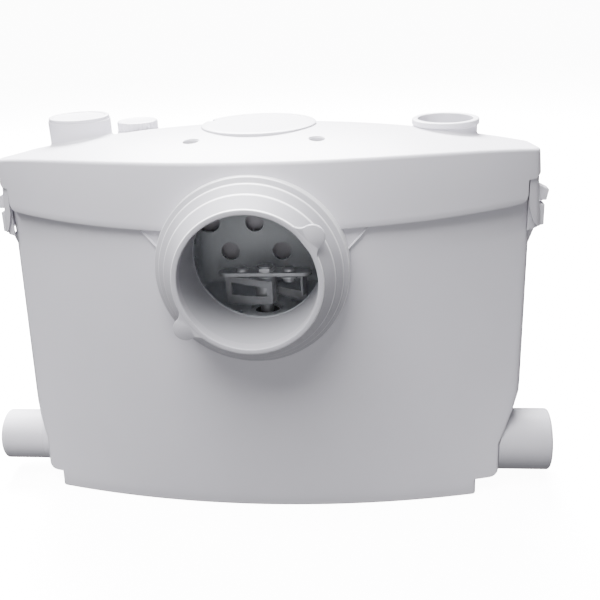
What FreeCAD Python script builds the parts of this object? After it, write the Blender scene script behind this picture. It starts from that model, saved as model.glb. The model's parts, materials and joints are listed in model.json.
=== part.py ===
import FreeCAD, Part
import math
import os
from types import SimpleNamespace

import Sketcher
from FreeCAD import Placement, Rotation, Vector

# Sewage lifting station behind a toilet: a moulded tank under a crowned lid, a motor that stands
# upright in the tank, its pump below it and its cutter above it in a perforated basket.
# Millimetres, +X right, +Y to the wall, +Z up, origin on the floor under the middle of the lid.
SIZES = {
    # lid
    "lid_half_width": 197.5,
    "lid_front": 71.5,
    "lid_back": 71.5,
    "lid_front_arc": 309.0,
    "lid_front_corner": 14.0,
    "lid_back_corner": 22.0,
    "lid_wall": 3.0,
    "lid_ledge": 6.0,
    "lid_edge_round": 2.2,
    "skirt_bottom": 223.8,
    "skirt_wall": 3.0,
    "skirt_gap": 1.0,
    "skirt_corner": 4.5,
    "crown_top": 279.5,
    "crown_along": 1000.0,
    "crown_across": 270.0,
    # tank
    "tank_rim": 241.0,
    "tank_wall": 3.5,
    "tank_floor": 4.0,
    "foot_front": 58.0,
    "foot_half_width": 190.0,
    "foot_arc": 690.0,
    "foot_corner": 12.0,
    "foot_height": 13.0,
    "foot_left": 171.5,
    "foot_right": 158.0,
    "foot_right_round": 11.0,
    "waist_left": 183.0,
    "waist_right": 175.5,
    "waist_round": 5.0,
    "waist_top": 104.0,
    "waist_bottom": 39.0,
    # inlet neck and its rubber sleeve
    "inlet_height": 198.0,
    "neck_radius": 51.0,
    "neck_bore": 45.5,
    "neck_inner_end": 46.0,
    "sleeve_front": 98.5,
    "sleeve_rim": 49.3,
    "sleeve_ring_one": 56.2,
    "sleeve_ring_two": 61.2,
    "sleeve_flange": 64.8,
    "sleeve_ring_one_back": 10.3,
    "sleeve_ring_two_back": 17.6,
    "sleeve_flange_back": 21.4,
    "sleeve_edge": 1.4,
    "sleeve_lip": 8.7,
    "sleeve_seat_depth": 42.0,
    "ear_radius": 8.0,
    "ear_reach": 53.0,
    "ear_root": 17.0,
    "ear_fillet": 14.0,
    "ear_thick": 3.0,
    "ear_angle": 36.0,
    "neck_rib_thick": 3.0,
    "neck_rib_front": 68.5,
    "neck_rib_back": 55.0,
    "neck_rib_lift": 14.0,
    # side inlets
    "side_inlet_y": 7.0,
    "side_inlet_height": 30.7,
    "side_inlet_radius": 20.0,
    "left_inlet_bore": 16.8,
    "right_inlet_bore": 17.2,
    "left_inlet_shoulder": 0.3,
    "left_inlet_root": 188.0,
    "right_spigot_radius": 19.6,
    "side_inlet_reach": 222.5,
    "left_inlet_inner_end": 163.0,
    "right_inlet_inner_end": 150.0,
    "right_sleeve_radius": 24.0,
    "right_sleeve_lip": 4.0,
    "right_spigot_reach": 212.5,
    "flap_radius": 19.0,
    "flap_thick": 2.5,
    "flap_pin_radius": 1.5,
    "flap_knuckle": 3.0,
    "flap_knuckle_width": 14.0,
    "flap_ear": 3.0,
    # latches
    "peg_front": 7.0,
    "peg_width": 10.0,
    "peg_bottom": 221.0,
    "peg_nose": 229.0,
    "peg_top": 235.0,
    "peg_stand_out": 8.7,
    "peg_chamfer": 1.5,
    "peg_rib_height": 16.0,
    "peg_rib_lead": 4.0,
    "peg_rib_gap": 2.0,
    "latch_root": 240.0,
    "latch_bottom": 203.0,
    "latch_width": 8.1,
    "latch_back": 27.0,
    "latch_slot": 1.4,
    "latch_window_gap": 0.6,
    "latch_window_drop": 2.6,
    "latch_inset": 1.4,
    "latch_thick": 1.8,
    "latch_chamfer": 3.2,
    "latch_lip": 4.5,
    "latch_lip_height": 11.0,
    "latch_lip_edge": 0.8,
    # fittings on the lid
    "top_inlet_y": 31.5,
    "left_top_inlet_x": 141.0,
    "right_top_inlet_x": 133.0,
    "top_inlet_radius": 23.0,
    "top_inlet_bore": 20.0,
    "top_inlet_foot": 254.0,
    "left_top_inlet_top": 283.0,
    "right_top_inlet_top": 277.5,
    "top_inlet_lip": 24.3,
    "top_inlet_lip_height": 4.0,
    "plug_radius": 22.3,
    "plug_thick": 2.5,
    "plug_depth": 9.0,
    "plug_wall": 2.0,
    "vent_x": 2.0,
    "vent_y": 14.5,
    "vent_cover_radius": 41.5,
    "vent_cover_thick": 2.6,
    "vent_seat": 277.6,
    "vent_cup_radius": 36.2,
    "vent_cup_wall": 2.0,
    "vent_cup_bottom": 262.0,
    "vent_notch": 4.0,
    "filter_thick": 9.0,
    "vent_slots": 5,
    "vent_slot_width": 3.0,
    "vent_slot_pitch": 9.0,
    "vent_plug_depth": 3.0,
    "vent_notch_angle": 160.0,
    "discharge_x": 102.0,
    "discharge_y": 50.8,
    "discharge_cap_radius": 15.5,
    "discharge_cap_bottom": 271.1,
    "discharge_cap_top": 278.0,
    "discharge_cap_wall": 1.6,
    "cap_ribs": 28,
    "cap_rib_radius": 0.7,
    "lid_screw_x": 43.0,
    "lid_screw_y": 32.0,
    "lid_screw_hole": 5.2,
    "lid_screw_seat": 264.0,
    "lid_screw_radius": 2.0,
    "lid_screw_head": 4.0,
    "lid_screw_head_height": 2.5,
    "lid_screw_bottom": 239.0,
    "lid_boss_radius": 7.0,
    # basket
    "basket_half_width": 60.0,
    "basket_front_gap": 0.3,
    "basket_back": 48.0,
    "basket_corner": 14.0,
    "basket_wall": 2.5,
    "basket_floor": 3.0,
    "basket_top": 250.0,
    "basket_mouth": 44.0,
    "basket_hole": 7.5,
    "basket_hole_pitch": 42.0,
    "basket_hole_shift": 6.7,
    "basket_row_pitch": 24.0,
    "basket_first_row": 171.5,
    "basket_rows": 3,
    "basket_floor_hole": 5.2,
    "basket_floor_holes": 6,
    "basket_boss_web": 4.0,
    "basket_hub_hole": 12.0,
    "basket_boss_radius": 6.0,
    "basket_boss_height": 13.0,
    # motor, from the floor up
    "motor_y": 9.0,
    "pump_foot_height": 8.0,
    "pump_foot_radius": 6.0,
    "pump_foot_circle": 30.0,
    "suction_plate_thick": 4.0,
    "suction_hole": 14.0,
    "suction_bar": 3.0,
    "volute_height": 28.0,
    "volute_radius": 43.0,
    "volute_wall": 3.5,
    "volute_outlet_offset": 29.0,
    "base_plate_thick": 8.0,
    "motor_can_radius": 42.0,
    "motor_can_wall": 2.5,
    "motor_can_height": 82.0,
    "top_plate_radius": 44.0,
    "top_plate_thick": 9.0,
    "shaft_radius": 5.0,
    "running_fit": 0.05,
    "bearing_radius": 13.0,
    "bearing_width": 5.0,
    "seal_radius": 9.0,
    "seal_width": 3.0,
    "stator_bore": 23.0,
    "stack_height": 38.0,
    "stack_lift": 22.0,
    "winding_inner": 25.0,
    "winding_outer": 36.0,
    "winding_height": 12.0,
    "air_gap": 0.6,
    "impeller_radius": 31.0,
    "impeller_disc": 3.0,
    "impeller_hub": 8.5,
    "impeller_vanes": 6,
    "impeller_vane_thick": 2.5,
    "impeller_clearance": 2.0,
    # cutter
    "cutter_height": 172.0,
    "cutter_half_length": 35.0,
    "cutter_half_width": 6.5,
    "cutter_thick": 3.0,
    "cutter_hub_radius": 8.0,
    "cutter_hub_height": 22.0,
    "nut_flats": 13.0,
    "nut_height": 3.2,
    "shaft_end": 0.8,
    "pin_circle": 17.5,
    "pin_radius": 2.6,
    "pin_head": 4.6,
    "pin_head_height": 3.2,
    "blade_gap": 0.3,
    "blade_thick": 1.6,
    "blade_lug": 7.5,
    "blade_stand_off": 5.4,
    "blade_back_end": 11.3,
    "blade_front_end": 28.2,
    "blade_height": 24.0,
    "blade_window_top": 5.0,
    "blade_window_height": 9.5,
    "blade_frame": 4.6,
    "blade_arc": 60.0,
    "blade_turn": 20.7,
    # discharge
    "pipe_radius": 12.0,
    "pipe_bore": 8.8,
    "pipe_bend": 20.0,
    "pipe_axis_lift": 14.0,
    "outlet_stub": 52.0,
    "valve_seat_height": 150.0,
    "valve_radius": 13.2,
    "valve_bore": 11.4,
    "valve_height": 28.0,
    "valve_socket": 7.0,
    "valve_flap_radius": 9.8,
    "valve_flap_thick": 1.6,
    "valve_axis": 9.6,
    "valve_axis_lift": 2.6,
    "valve_pin_radius": 0.6,
    "valve_knuckle": 1.2,
    "riser_top": 276.0,
    # control box
    "box_x": 68.0,
    "box_length": 58.0,
    "box_front": 35.0,
    "box_depth": 44.0,
    "box_bottom": 150.0,
    "box_height": 82.0,
    "box_wall": 2.5,
    "box_cover_thick": 4.0,
    "box_boss_radius": 4.5,
    "box_screw_radius": 1.6,
    "box_screw_head": 3.2,
    "box_screw_head_height": 2.0,
    "box_screw_bite": 8.0,
    "box_plug_depth": 3.0,
    "capacitor_radius": 12.5,
    "capacitor_height": 58.0,
    "capacitor_edge": 1.5,
    "terminal_length": 26.0,
    "terminal_depth": 12.0,
    "terminal_height": 15.0,
    "tube_x": 109.0,
    "tube_y": 13.0,
    "tube_radius": 8.0,
    "tube_bore": 6.0,
    "tube_socket_wall": 3.0,
    "tube_socket_depth": 10.0,
    "bell_radius": 14.0,
    "bell_height": 20.0,
    "bell_lift": 10.0,
    "switch_housing_radius": 13.0,
    "switch_housing_height": 10.0,
    "diaphragm_radius": 11.0,
    "diaphragm_thick": 1.5,
    "plunger_foot": 7.0,
    "plunger_stem": 1.5,
    "plunger_foot_thick": 1.2,
    "plunger_height": 12.0,
    "plunger_travel": 1.2,
    "lever_gap": 0.5,
    "lever_thick": 0.8,
    "lever_length": 18.0,
    "lever_width": 4.4,
    "lever_room": 3.0,
    "micro_switch_length": 20.0,
    "micro_switch_width": 6.4,
    "micro_switch_height": 10.0,
    # cable inlet
    "gland_x": 105.0,
    "gland_height": 208.0,
    "gland_thread": 7.5,
    "gland_bore": 3.5,
    "gland_head": 11.0,
    "gland_head_length": 5.0,
    "gland_dome": 8.0,
    "gland_dome_length": 4.0,
    "gland_nut_flats": 20.0,
    "gland_nut_length": 4.0,
    "seat_gap": 0.3,
}

doc = FreeCAD.newDocument("lifting_station")
sheet = doc.addObject("Spreadsheet::Sheet", "sizes")
for row, (alias, number) in enumerate(SIZES.items(), start=1):
    sheet.set(f"A{row}", alias)
    sheet.set(f"B{row}", str(number))
    sheet.setAlias(f"B{row}", alias)
doc.recompute()

NODES = []

TO_BACK = Rotation(Vector(1, 0, 0), -90)
TO_FRONT = Rotation(Vector(1, 0, 0), 90)
TO_RIGHT = Rotation(Vector(0, 1, 0), 90)
TO_LEFT = Rotation(Vector(0, 1, 0), -90)


class Size:
    """A length worked out from the sheet: its formula in words the sheet reads, and its value."""

    def __init__(self, text, value):
        self.text = text
        self.value = value

    def __add__(self, other):
        return Size(f"({self.text} + {text_of(other)})", self.value + value_of(other))

    def __radd__(self, other):
        return Size(f"({text_of(other)} + {self.text})", value_of(other) + self.value)

    def __sub__(self, other):
        return Size(f"({self.text} - {text_of(other)})", self.value - value_of(other))

    def __rsub__(self, other):
        return Size(f"({text_of(other)} - {self.text})", value_of(other) - self.value)

    def __mul__(self, other):
        return Size(f"({self.text} * {text_of(other)})", self.value * value_of(other))

    __rmul__ = __mul__

    def __truediv__(self, other):
        return Size(f"({self.text} / {text_of(other)})", self.value / value_of(other))

    def __neg__(self):
        return Size(f"(0 - {self.text})", -self.value)


def text_of(size):
    return size.text if isinstance(size, Size) else repr(size)


def value_of(size):
    return size.value if isinstance(size, Size) else float(size)


def root(size):
    return Size(f"sqrt({size.text})", math.sqrt(size.value))


s = SimpleNamespace(**{name: Size(f"sizes.{name}", float(sheet.get(name))) for name in SIZES})


# Drawing and placing


def bind(thing, prop, size):
    """Ties a property to its formula in the sheet."""
    if isinstance(size, Size):
        thing.setExpression(prop, size.text)
    else:
        setattr(thing, prop, size)


def place(thing, x=0, y=0, z=0, turn=None):
    """Puts an object at x, y, z, each tied to the sheet, turned as asked."""
    thing.Placement = Placement(Vector(value_of(x), value_of(y), value_of(z)), turn or Rotation())
    for axis, size in zip("xyz", (x, y, z)):
        if isinstance(size, Size):
            thing.setExpression(f"Placement.Base.{axis}", size.text)
    return thing


def draw(sketch, corners, rounds):
    """Closed outline through corners, walked counter-clockwise; rounds gives an edge its arc's
    radius, which bulges outwards where it is positive and inwards where it is negative."""
    points = [Vector(value_of(x), value_of(y), 0) for x, y in corners]
    edges = []
    for number, start in enumerate(points):
        end = points[(number + 1) % len(points)]
        if number not in rounds:
            edges.append((sketch.addGeometry(Part.LineSegment(start, end)), 1, 2))
            continue
        radius = value_of(rounds[number])
        chord = end - start
        rise = math.sqrt(max(radius ** 2 - chord.Length ** 2 / 4, 0))
        left = Vector(-chord.y, chord.x, 0).normalize()
        centre = (start + end) / 2 + left * math.copysign(rise, radius)
        circle = Part.Circle(centre, Vector(0, 0, 1), abs(radius))
        first, last = (start, end) if radius > 0 else (end, start)
        angles = [math.atan2(p.y - centre.y, p.x - centre.x) for p in (first, last)]
        arc = sketch.addGeometry(Part.ArcOfCircle(circle, *angles))
        edges.append((arc, 1, 2) if radius > 0 else (arc, 2, 1))
    limits = []
    for number, (edge, start, end) in enumerate(edges):
        following, next_start, _ = edges[(number + 1) % len(edges)]
        limits.append(Sketcher.Constraint("Coincident", edge, end, following, next_start))
    sketch.addConstraint(limits)
    for (edge, start, _), (x, y) in zip(edges, corners):
        for kind, size in (("DistanceX", x), ("DistanceY", y)):
            limit = sketch.addConstraint(Sketcher.Constraint(kind, -1, 1, edge, start, value_of(size)))
            if isinstance(size, Size):
                sketch.setExpression(f"Constraints[{limit}]", size.text)
    for number, radius in rounds.items():
        edge = edges[number][0]
        limit = sketch.addConstraint(Sketcher.Constraint("Radius", edge, abs(value_of(radius))))
        if isinstance(radius, Size):
            text = radius.text if radius.value > 0 else f"(0 - {radius.text})"
            sketch.setExpression(f"Constraints[{limit}]", text)
    return sketch


def flat_outline(name, z, corners, rounds):
    """An outline that lies level at height z."""
    sketch = doc.addObject("Sketcher::SketchObject", name)
    place(sketch, z=z)
    return draw(sketch, corners, rounds)


def sketch_in(body, plane, offset, corners, rounds):
    """A sketch on one of the body's own origin planes, moved along the plane's normal."""
    sketch = body.newObject("Sketcher::SketchObject", body.Name + "_outline")
    origin = [item for item in body.Origin.OriginFeatures if item.Role == plane + "_Plane"][0]
    sketch.AttachmentSupport = [(origin, "")]
    sketch.MapMode = "FlatFace"
    along = -offset if plane == "XZ" else offset
    sketch.AttachmentOffset = Placement(Vector(0, 0, value_of(along)), Rotation())
    if isinstance(along, Size):
        sketch.setExpression("AttachmentOffset.Base.z", along.text)
    return draw(sketch, corners, rounds)


def slab(name, plane, corners, start, length, rounds=None):
    """A body padded from start by length along +Z, +Y or +X, for a sketch on XY, XZ or YZ."""
    body = doc.addObject("PartDesign::Body", name)
    sketch = sketch_in(body, plane, start, corners, rounds or {})
    pad = body.newObject("PartDesign::Pad", name + "_pad")
    pad.Profile = sketch
    bind(pad, "Length", length)
    pad.Reversed = plane == "XZ"
    body.Tip = pad
    return body


def turned(name, corners, x=0, y=0, z=0, turn=None, rounds=None):
    """A body of revolution: corners are (radius, height) about its own upright axis."""
    body = doc.addObject("PartDesign::Body", name)
    sketch = sketch_in(body, "XZ", 0, corners, rounds or {})
    spun = body.newObject("PartDesign::Revolution", name + "_turning")
    spun.Profile = sketch
    spun.ReferenceAxis = (sketch, ["V_Axis"])
    spun.Angle = 360
    body.Tip = spun
    return place(body, x, y, z, turn)


def cylinder(name, radius, height, x=0, y=0, z=0, turn=None):
    thing = doc.addObject("Part::Cylinder", name)
    bind(thing, "Radius", radius)
    bind(thing, "Height", height)
    return place(thing, x, y, z, turn)


def box(name, length, depth, height, x=0, y=0, z=0):
    thing = doc.addObject("Part::Box", name)
    bind(thing, "Length", length)
    bind(thing, "Width", depth)
    bind(thing, "Height", height)
    return place(thing, x, y, z)


def fuse(name, *pieces):
    thing = doc.addObject("Part::MultiFuse", name)
    thing.Shapes = list(pieces)
    return thing


def group(name, *pieces):
    thing = doc.addObject("Part::Compound", name)
    thing.Links = list(pieces)
    return thing


def cut(name, base, *tools):
    thing = doc.addObject("Part::Cut", name)
    thing.Base = base
    thing.Tool = tools[0] if len(tools) == 1 else group(name + "_cuts", *tools)
    return thing


def common(name, *pieces):
    thing = doc.addObject("Part::MultiCommon", name)
    thing.Shapes = list(pieces)
    return thing


def ring(name, outer, inner, height, x=0, y=0, z=0, turn=None):
    """A plain tube as a body of revolution."""
    return turned(name, [(inner, 0), (outer, 0), (outer, height), (inner, height)], x, y, z, turn)


def hexagon(name, flats, height, bore, x=0, y=0, z=0, turn=None):
    """A nut: a hexagonal prism across its flats, with its bore."""
    prism = doc.addObject("Part::Prism", name + "_prism")
    prism.Polygon = 6
    bind(prism, "Circumradius", flats / math.sqrt(3))
    bind(prism, "Height", height)
    return place(cut(name, prism, cylinder(name + "_bore", bore, height)), x, y, z, turn)


def node(thing, label):
    thing.Label = label
    NODES.append(thing)


# Outline seen from above, shared by the lid and the tank: an arced front, rounded corners, a flat back


def plan(half_width, front, back, arc, corner, back_corner):
    """Corners and arcs of the outline; each front corner is an arc tangent to the front and side."""
    centre_y = arc - front
    reach = root((arc - corner) * (arc - corner) - (half_width - corner) * (half_width - corner))
    share = arc / (arc - corner)
    touch_x = (half_width - corner) * share
    touch_y = centre_y - reach * share
    corner_y = centre_y - reach
    corners = [
        (-touch_x, touch_y),
        (touch_x, touch_y),
        (half_width, corner_y),
        (half_width, back - back_corner),
        (half_width - back_corner, back),
        (-(half_width - back_corner), back),
        (-half_width, back - back_corner),
        (-half_width, corner_y),
    ]
    return corners, {0: arc, 1: corner, 3: back_corner, 5: back_corner, 7: corner}


def lid_plan(inset):
    return plan(s.lid_half_width - inset, s.lid_front - inset, s.lid_back - inset,
                s.lid_front_arc - inset, s.lid_front_corner - inset, s.lid_back_corner - inset)


def foot_plan(inset):
    inset_back = s.skirt_wall + s.skirt_gap + inset
    return plan(s.foot_half_width - inset, s.foot_front - inset, s.lid_back - inset_back,
                s.foot_arc - inset, s.foot_corner - inset, s.lid_back_corner - inset_back)


def lid_block(name, inset, bottom, height):
    corners, rounds = lid_plan(inset)
    return slab(name, "XY", corners, bottom, height, rounds)


def tank_block(name, inset, bottom, top):
    """The tank's block: it leans from the foot's flat arc out to the lid's arc, then stands upright
    behind the latches and the skirt."""
    shoulder = s.latch_bottom - 1
    upper = s.skirt_wall + s.skirt_gap + inset
    low = flat_outline(name + "_low", bottom, *foot_plan(inset))
    high = flat_outline(name + "_high", shoulder, *lid_plan(upper))
    loft = doc.addObject("Part::Loft", name + "_lean")
    loft.Sections = [low, high]
    loft.Solid = True
    loft.Ruled = True
    return fuse(name, loft, lid_block(name + "_upright", upper, shoulder, top - shoulder))


def crown_block(name, drop):
    """The lid's top: an arc across the unit, swept along a larger arc from side to side."""
    half_depth = 120.0
    low = 200.0
    across = s.crown_across - drop
    side_height = s.crown_top - s.crown_across + root(across * across - half_depth ** 2)
    profile = doc.addObject("Sketcher::SketchObject", name + "_profile")
    profile.Placement = Placement(Vector(0, 0, 0), Rotation(Vector(1, 1, 1), 120))
    draw(profile, [(-half_depth, low), (half_depth, low), (half_depth, side_height),
                   (-half_depth, side_height)], {2: across})
    swept = doc.addObject("Part::Revolution", name)
    swept.Source = profile
    swept.Axis = Vector(0, 1, 0)
    swept.Base = Vector(0, 0, value_of(s.crown_top - s.crown_along))
    swept.Angle = 30
    swept.Symmetric = True
    swept.Solid = True
    return swept


def along_y(name, radius, start, length, z, x=0):
    """A round bar that runs to the back from y = start."""
    return cylinder(name, radius, length, x, start, z, TO_BACK)


# Tank


def waist_profile(inset, lift):
    """Front view of the tank: its foot, the step above it and the waist that clears the side inlets."""
    top = s.tank_rim + 20
    wide = s.lid_half_width + 3 - inset
    low = s.foot_height + lift
    right = s.waist_right - inset
    left = s.waist_left - inset
    corners = [
        (-(s.foot_left - inset), lift),
        (s.foot_right - inset, lift),
        (s.foot_right - inset, low),
        (right - s.waist_round, low),
        (right, low + s.waist_round),
        (right, s.waist_bottom),
        (wide, s.waist_top),
        (wide, top),
        (-wide, top),
        (-wide, s.waist_top),
        (-left, s.waist_bottom),
        (-left, low + s.waist_round),
        (-(left - s.waist_round), low),
        (-(s.foot_left - inset), low),
    ]
    return corners, {3: s.waist_round, 11: s.waist_round}


def waist_block(name, inset, lift):
    corners, rounds = waist_profile(inset, lift)
    return slab(name, "XZ", corners, -s.lid_front * 2, s.lid_front * 4, rounds)


def side_ears(name, side):
    """Two ears above a side inlet's inner end that carry its flap's pin."""
    x = flap_axis_x(side)
    pieces = []
    for number, y in enumerate((flap_knuckle_side() + s.seat_gap,
                                -flap_knuckle_side() - s.seat_gap - s.flap_ear)):
        low = -(s.side_inlet_radius - s.flap_radius + 2.3 * s.flap_knuckle)
        spigot_end = s.seat_gap + s.flap_thick / 2
        nose = 0.8 * s.flap_knuckle
        corners = [
            (spigot_end, low),
            (2.4 * s.flap_knuckle, low),
            (2.4 * s.flap_knuckle, 0),
            (0, s.flap_knuckle),
            (-nose, nose),
            (-nose, -nose),
            (spigot_end, -nose),
        ]
        corners = mirrored(corners, side)
        ear = slab(f"{name}_ear_{number}", "XZ", corners, y - s.side_inlet_y, s.flap_ear)
        pieces.append(place(ear, x, 0, flap_axis_z()))
    return pieces


def inner_end(side):
    return s.right_inlet_inner_end if side > 0 else s.left_inlet_inner_end


def flap_axis_x(side):
    return side * (inner_end(side) - s.seat_gap - s.flap_thick / 2)


def flap_axis_z():
    return s.side_inlet_height + s.side_inlet_radius + s.flap_knuckle + s.seat_gap


def flap_knuckle_side():
    return s.flap_knuckle_width / 2


def mirrored(corners, side):
    """The outline itself on the right (side 1), its mirror image on the left (side -1)."""
    if side > 0:
        return corners
    return [(-x, z) for x, z in reversed(corners)]


def peg(name, side):
    """The ramped peg that a lid latch snaps over, with the rib below it."""
    wall = s.lid_half_width - s.skirt_wall - s.skirt_gap - s.tank_wall
    reach = s.lid_half_width + s.peg_stand_out
    nose = [
        (wall, s.peg_bottom),
        (reach - s.peg_chamfer, s.peg_bottom),
        (reach, s.peg_nose),
        (s.lid_half_width - s.skirt_wall, s.peg_top),
        (wall, s.peg_top),
    ]
    face = s.lid_half_width - s.skirt_wall - s.skirt_gap
    rib_top = s.latch_bottom - s.peg_rib_gap
    rib = [
        (wall, rib_top - s.peg_rib_height),
        (face, rib_top - s.peg_rib_height + s.peg_rib_lead),
        (s.lid_half_width, rib_top),
        (wall, rib_top),
    ]
    pieces = []
    for part_name, corners in (("nose", nose), ("rib", rib)):
        outline = mirrored(corners, side)
        pieces.append(slab(f"{name}_{part_name}", "XZ", outline, s.peg_front, s.peg_width))
    return pieces


def neck_rib(name, side):
    """A slanted rib beside the neck that runs up under the lid's skirt."""
    top = s.skirt_bottom - 1
    reach = s.sleeve_flange + s.seat_gap
    low_z = s.inlet_height + s.neck_rib_lift
    low_x = root(reach * reach - s.neck_rib_lift * s.neck_rib_lift) + 1
    run = top - low_z
    corners = [
        (low_x, low_z),
        (low_x + s.neck_rib_thick, low_z),
        (low_x + s.neck_rib_thick + run, top),
        (low_x + run, top),
    ]
    depth = s.neck_rib_front - s.neck_rib_back
    return slab(name, "XZ", mirrored(corners, side), -s.neck_rib_front, depth)


def side_bar(name, radius, start, end):
    """A round bar on the side inlets' common axis."""
    return cylinder(name, radius, end - start, start, -s.side_inlet_y, s.side_inlet_height, TO_RIGHT)


def foot_corner_cut():
    """What the rounded front corner of the foot's right end leaves out."""
    x = s.foot_right
    arc_y = s.foot_arc - s.foot_front - root(s.foot_arc * s.foot_arc - x * x)
    slope = x / root(s.foot_arc * s.foot_arc - x * x)
    touch = s.foot_right_round * (root(1 + slope * slope) - slope)
    run = touch / root(1 + slope * slope)
    beyond = 20.0
    corners = [
        (x, arc_y + touch),
        (x - run, arc_y - slope * run),
        (x - run, arc_y - beyond),
        (x + beyond, arc_y - beyond),
        (x + beyond, arc_y + touch),
    ]
    return slab("foot_corner_cut", "XY", corners, -1.0, s.foot_height + 1, {0: -s.foot_right_round})


def tank():
    """One moulding: shell, neck, side spigots, flap ears, latch pegs and neck ribs."""
    outside = common("tank_outside", tank_block("tank_block", 0, 0, s.tank_rim),
                     waist_block("tank_waist", 0, 0))
    hollow = tank_block("tank_hollow", s.tank_wall, s.tank_floor, s.tank_rim + 1)
    inside = common("tank_inside", hollow, waist_block("tank_hollow_waist", s.tank_wall, s.tank_floor))
    shell = cut("tank_shell", outside, inside)
    neck_start = sleeve_socket_y()
    neck = along_y("neck", s.neck_radius, neck_start, -s.neck_inner_end - neck_start, s.inlet_height)
    left = side_bar("left_spigot", s.side_inlet_radius, -s.side_inlet_reach, 1 - s.left_inlet_root)
    left_root = side_bar("left_spigot_root", s.side_inlet_radius + s.left_inlet_shoulder,
                         -s.left_inlet_root, -s.left_inlet_inner_end)
    right = side_bar("right_spigot", s.right_spigot_radius, s.right_inlet_inner_end, s.right_spigot_reach)
    added = [shell, neck, left, left_root, right]
    for name, side in (("left", -1), ("right", 1)):
        added += peg(f"{name}_peg", side) + side_ears(name, side) + [neck_rib(f"{name}_neck_rib", side)]
    solid = fuse("tank_solid", *added)
    reach = s.lid_front * 2
    holes = [
        along_y("neck_hole", s.neck_bore, -reach, reach - s.neck_inner_end + 1, s.inlet_height),
        side_bar("left_hole", s.left_inlet_bore, -s.side_inlet_reach - 1, 1 - s.left_inlet_inner_end),
        side_bar("right_hole", s.right_inlet_bore, s.right_inlet_inner_end - 1, s.right_spigot_reach + 1),
        along_y("gland_hole", s.gland_thread + s.seat_gap, s.lid_back - 20, 40.0, s.gland_height,
                s.gland_x),
        foot_corner_cut(),
    ]
    for name, side in (("left", -1), ("right", 1)):
        width = s.flap_knuckle_width + 2 * s.flap_ear + 4
        holes.append(along_y(f"{name}_pin_hole", s.flap_pin_radius, -s.side_inlet_y - width / 2, width,
                             flap_axis_z(), flap_axis_x(side)))
    node(cut("tank", solid, *holes), "tank")


# Rubber sleeve of the toilet inlet


def sleeve_socket_y():
    """Where the tank's neck starts inside the sleeve."""
    return -(s.sleeve_front - s.sleeve_lip - s.seat_gap)


def ear(name, angle):
    """A pull ear on the sleeve's rim: a round lobe that runs into the rim on both sides."""
    foot = s.sleeve_rim - 4
    corners = [
        (-s.ear_root, foot),
        (s.ear_root, foot),
        (s.ear_radius, s.ear_reach),
        (0, s.ear_reach + s.ear_radius),
        (-s.ear_radius, s.ear_reach),
    ]
    rounds = {1: -s.ear_fillet, 2: s.ear_radius, 3: s.ear_radius, 4: -s.ear_fillet}
    lobe = slab(name, "XZ", corners, 0, s.ear_thick, rounds)
    return place(lobe, 0, -s.sleeve_front, s.inlet_height, Rotation(Vector(0, 1, 0), 90 - angle))


def wc_sleeve():
    socket = s.neck_radius + s.seat_gap
    corners = [
        (s.neck_bore, 0),
        (s.sleeve_rim, 0),
        (s.sleeve_rim, s.sleeve_edge),
        (s.sleeve_ring_one, s.sleeve_ring_one_back),
        (s.sleeve_ring_one, s.sleeve_ring_one_back + s.sleeve_edge),
        (s.sleeve_ring_two, s.sleeve_ring_two_back),
        (s.sleeve_ring_two, s.sleeve_ring_two_back + s.sleeve_edge),
        (s.sleeve_flange, s.sleeve_flange_back),
        (s.sleeve_flange, s.sleeve_seat_depth),
        (socket, s.sleeve_seat_depth),
        (socket, s.sleeve_lip),
        (s.neck_bore, s.sleeve_lip),
    ]
    rubber = turned("sleeve_rubber", corners, 0, -s.sleeve_front, s.inlet_height, TO_BACK)
    angle = value_of(s.ear_angle)
    ears = [ear("right_ear", angle), ear("left_ear", angle + 180)]
    bore = along_y("sleeve_bore", s.neck_bore, -s.sleeve_front - 1, s.sleeve_lip + 2, s.inlet_height)
    whole = cut("sleeve_whole", fuse("sleeve_with_ears", rubber, *ears), bore)
    lid_room = lid_block("sleeve_lid_room", -s.seat_gap, s.skirt_bottom - s.seat_gap, s.crown_top)
    tank_room = tank_block("sleeve_tank_room", -s.seat_gap, 0, s.crown_top)
    node(cut("wc_sleeve", whole, lid_room, tank_room), "wc_sleeve")


def right_inlet_sleeve():
    """Rubber sleeve pushed over the right side spigot, with a lip in front of the spigot's end."""
    start = s.waist_right + 1
    end = s.right_spigot_reach + s.right_sleeve_lip
    inner = s.right_spigot_radius + s.seat_gap
    round_edge = s.tank_wall / 2
    corners = [
        (inner, 0),
        (s.right_sleeve_radius, 0),
        (s.right_sleeve_radius, end - start - round_edge),
        (s.right_sleeve_radius - round_edge, end - start),
        (s.right_inlet_bore, end - start),
        (s.right_inlet_bore, s.right_spigot_reach + s.seat_gap - start),
        (inner, s.right_spigot_reach + s.seat_gap - start),
    ]
    tube = turned("right_sleeve_tube", corners, start, -s.side_inlet_y, s.side_inlet_height, TO_RIGHT,
                  {2: round_edge})
    room = waist_block("right_sleeve_room", -s.seat_gap, -s.seat_gap)
    wall = tank_block("right_sleeve_wall", -s.seat_gap, 0, s.tank_rim)
    node(cut("right_inlet_sleeve", tube, common("right_sleeve_tank", room, wall)), "right_inlet_sleeve")


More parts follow.
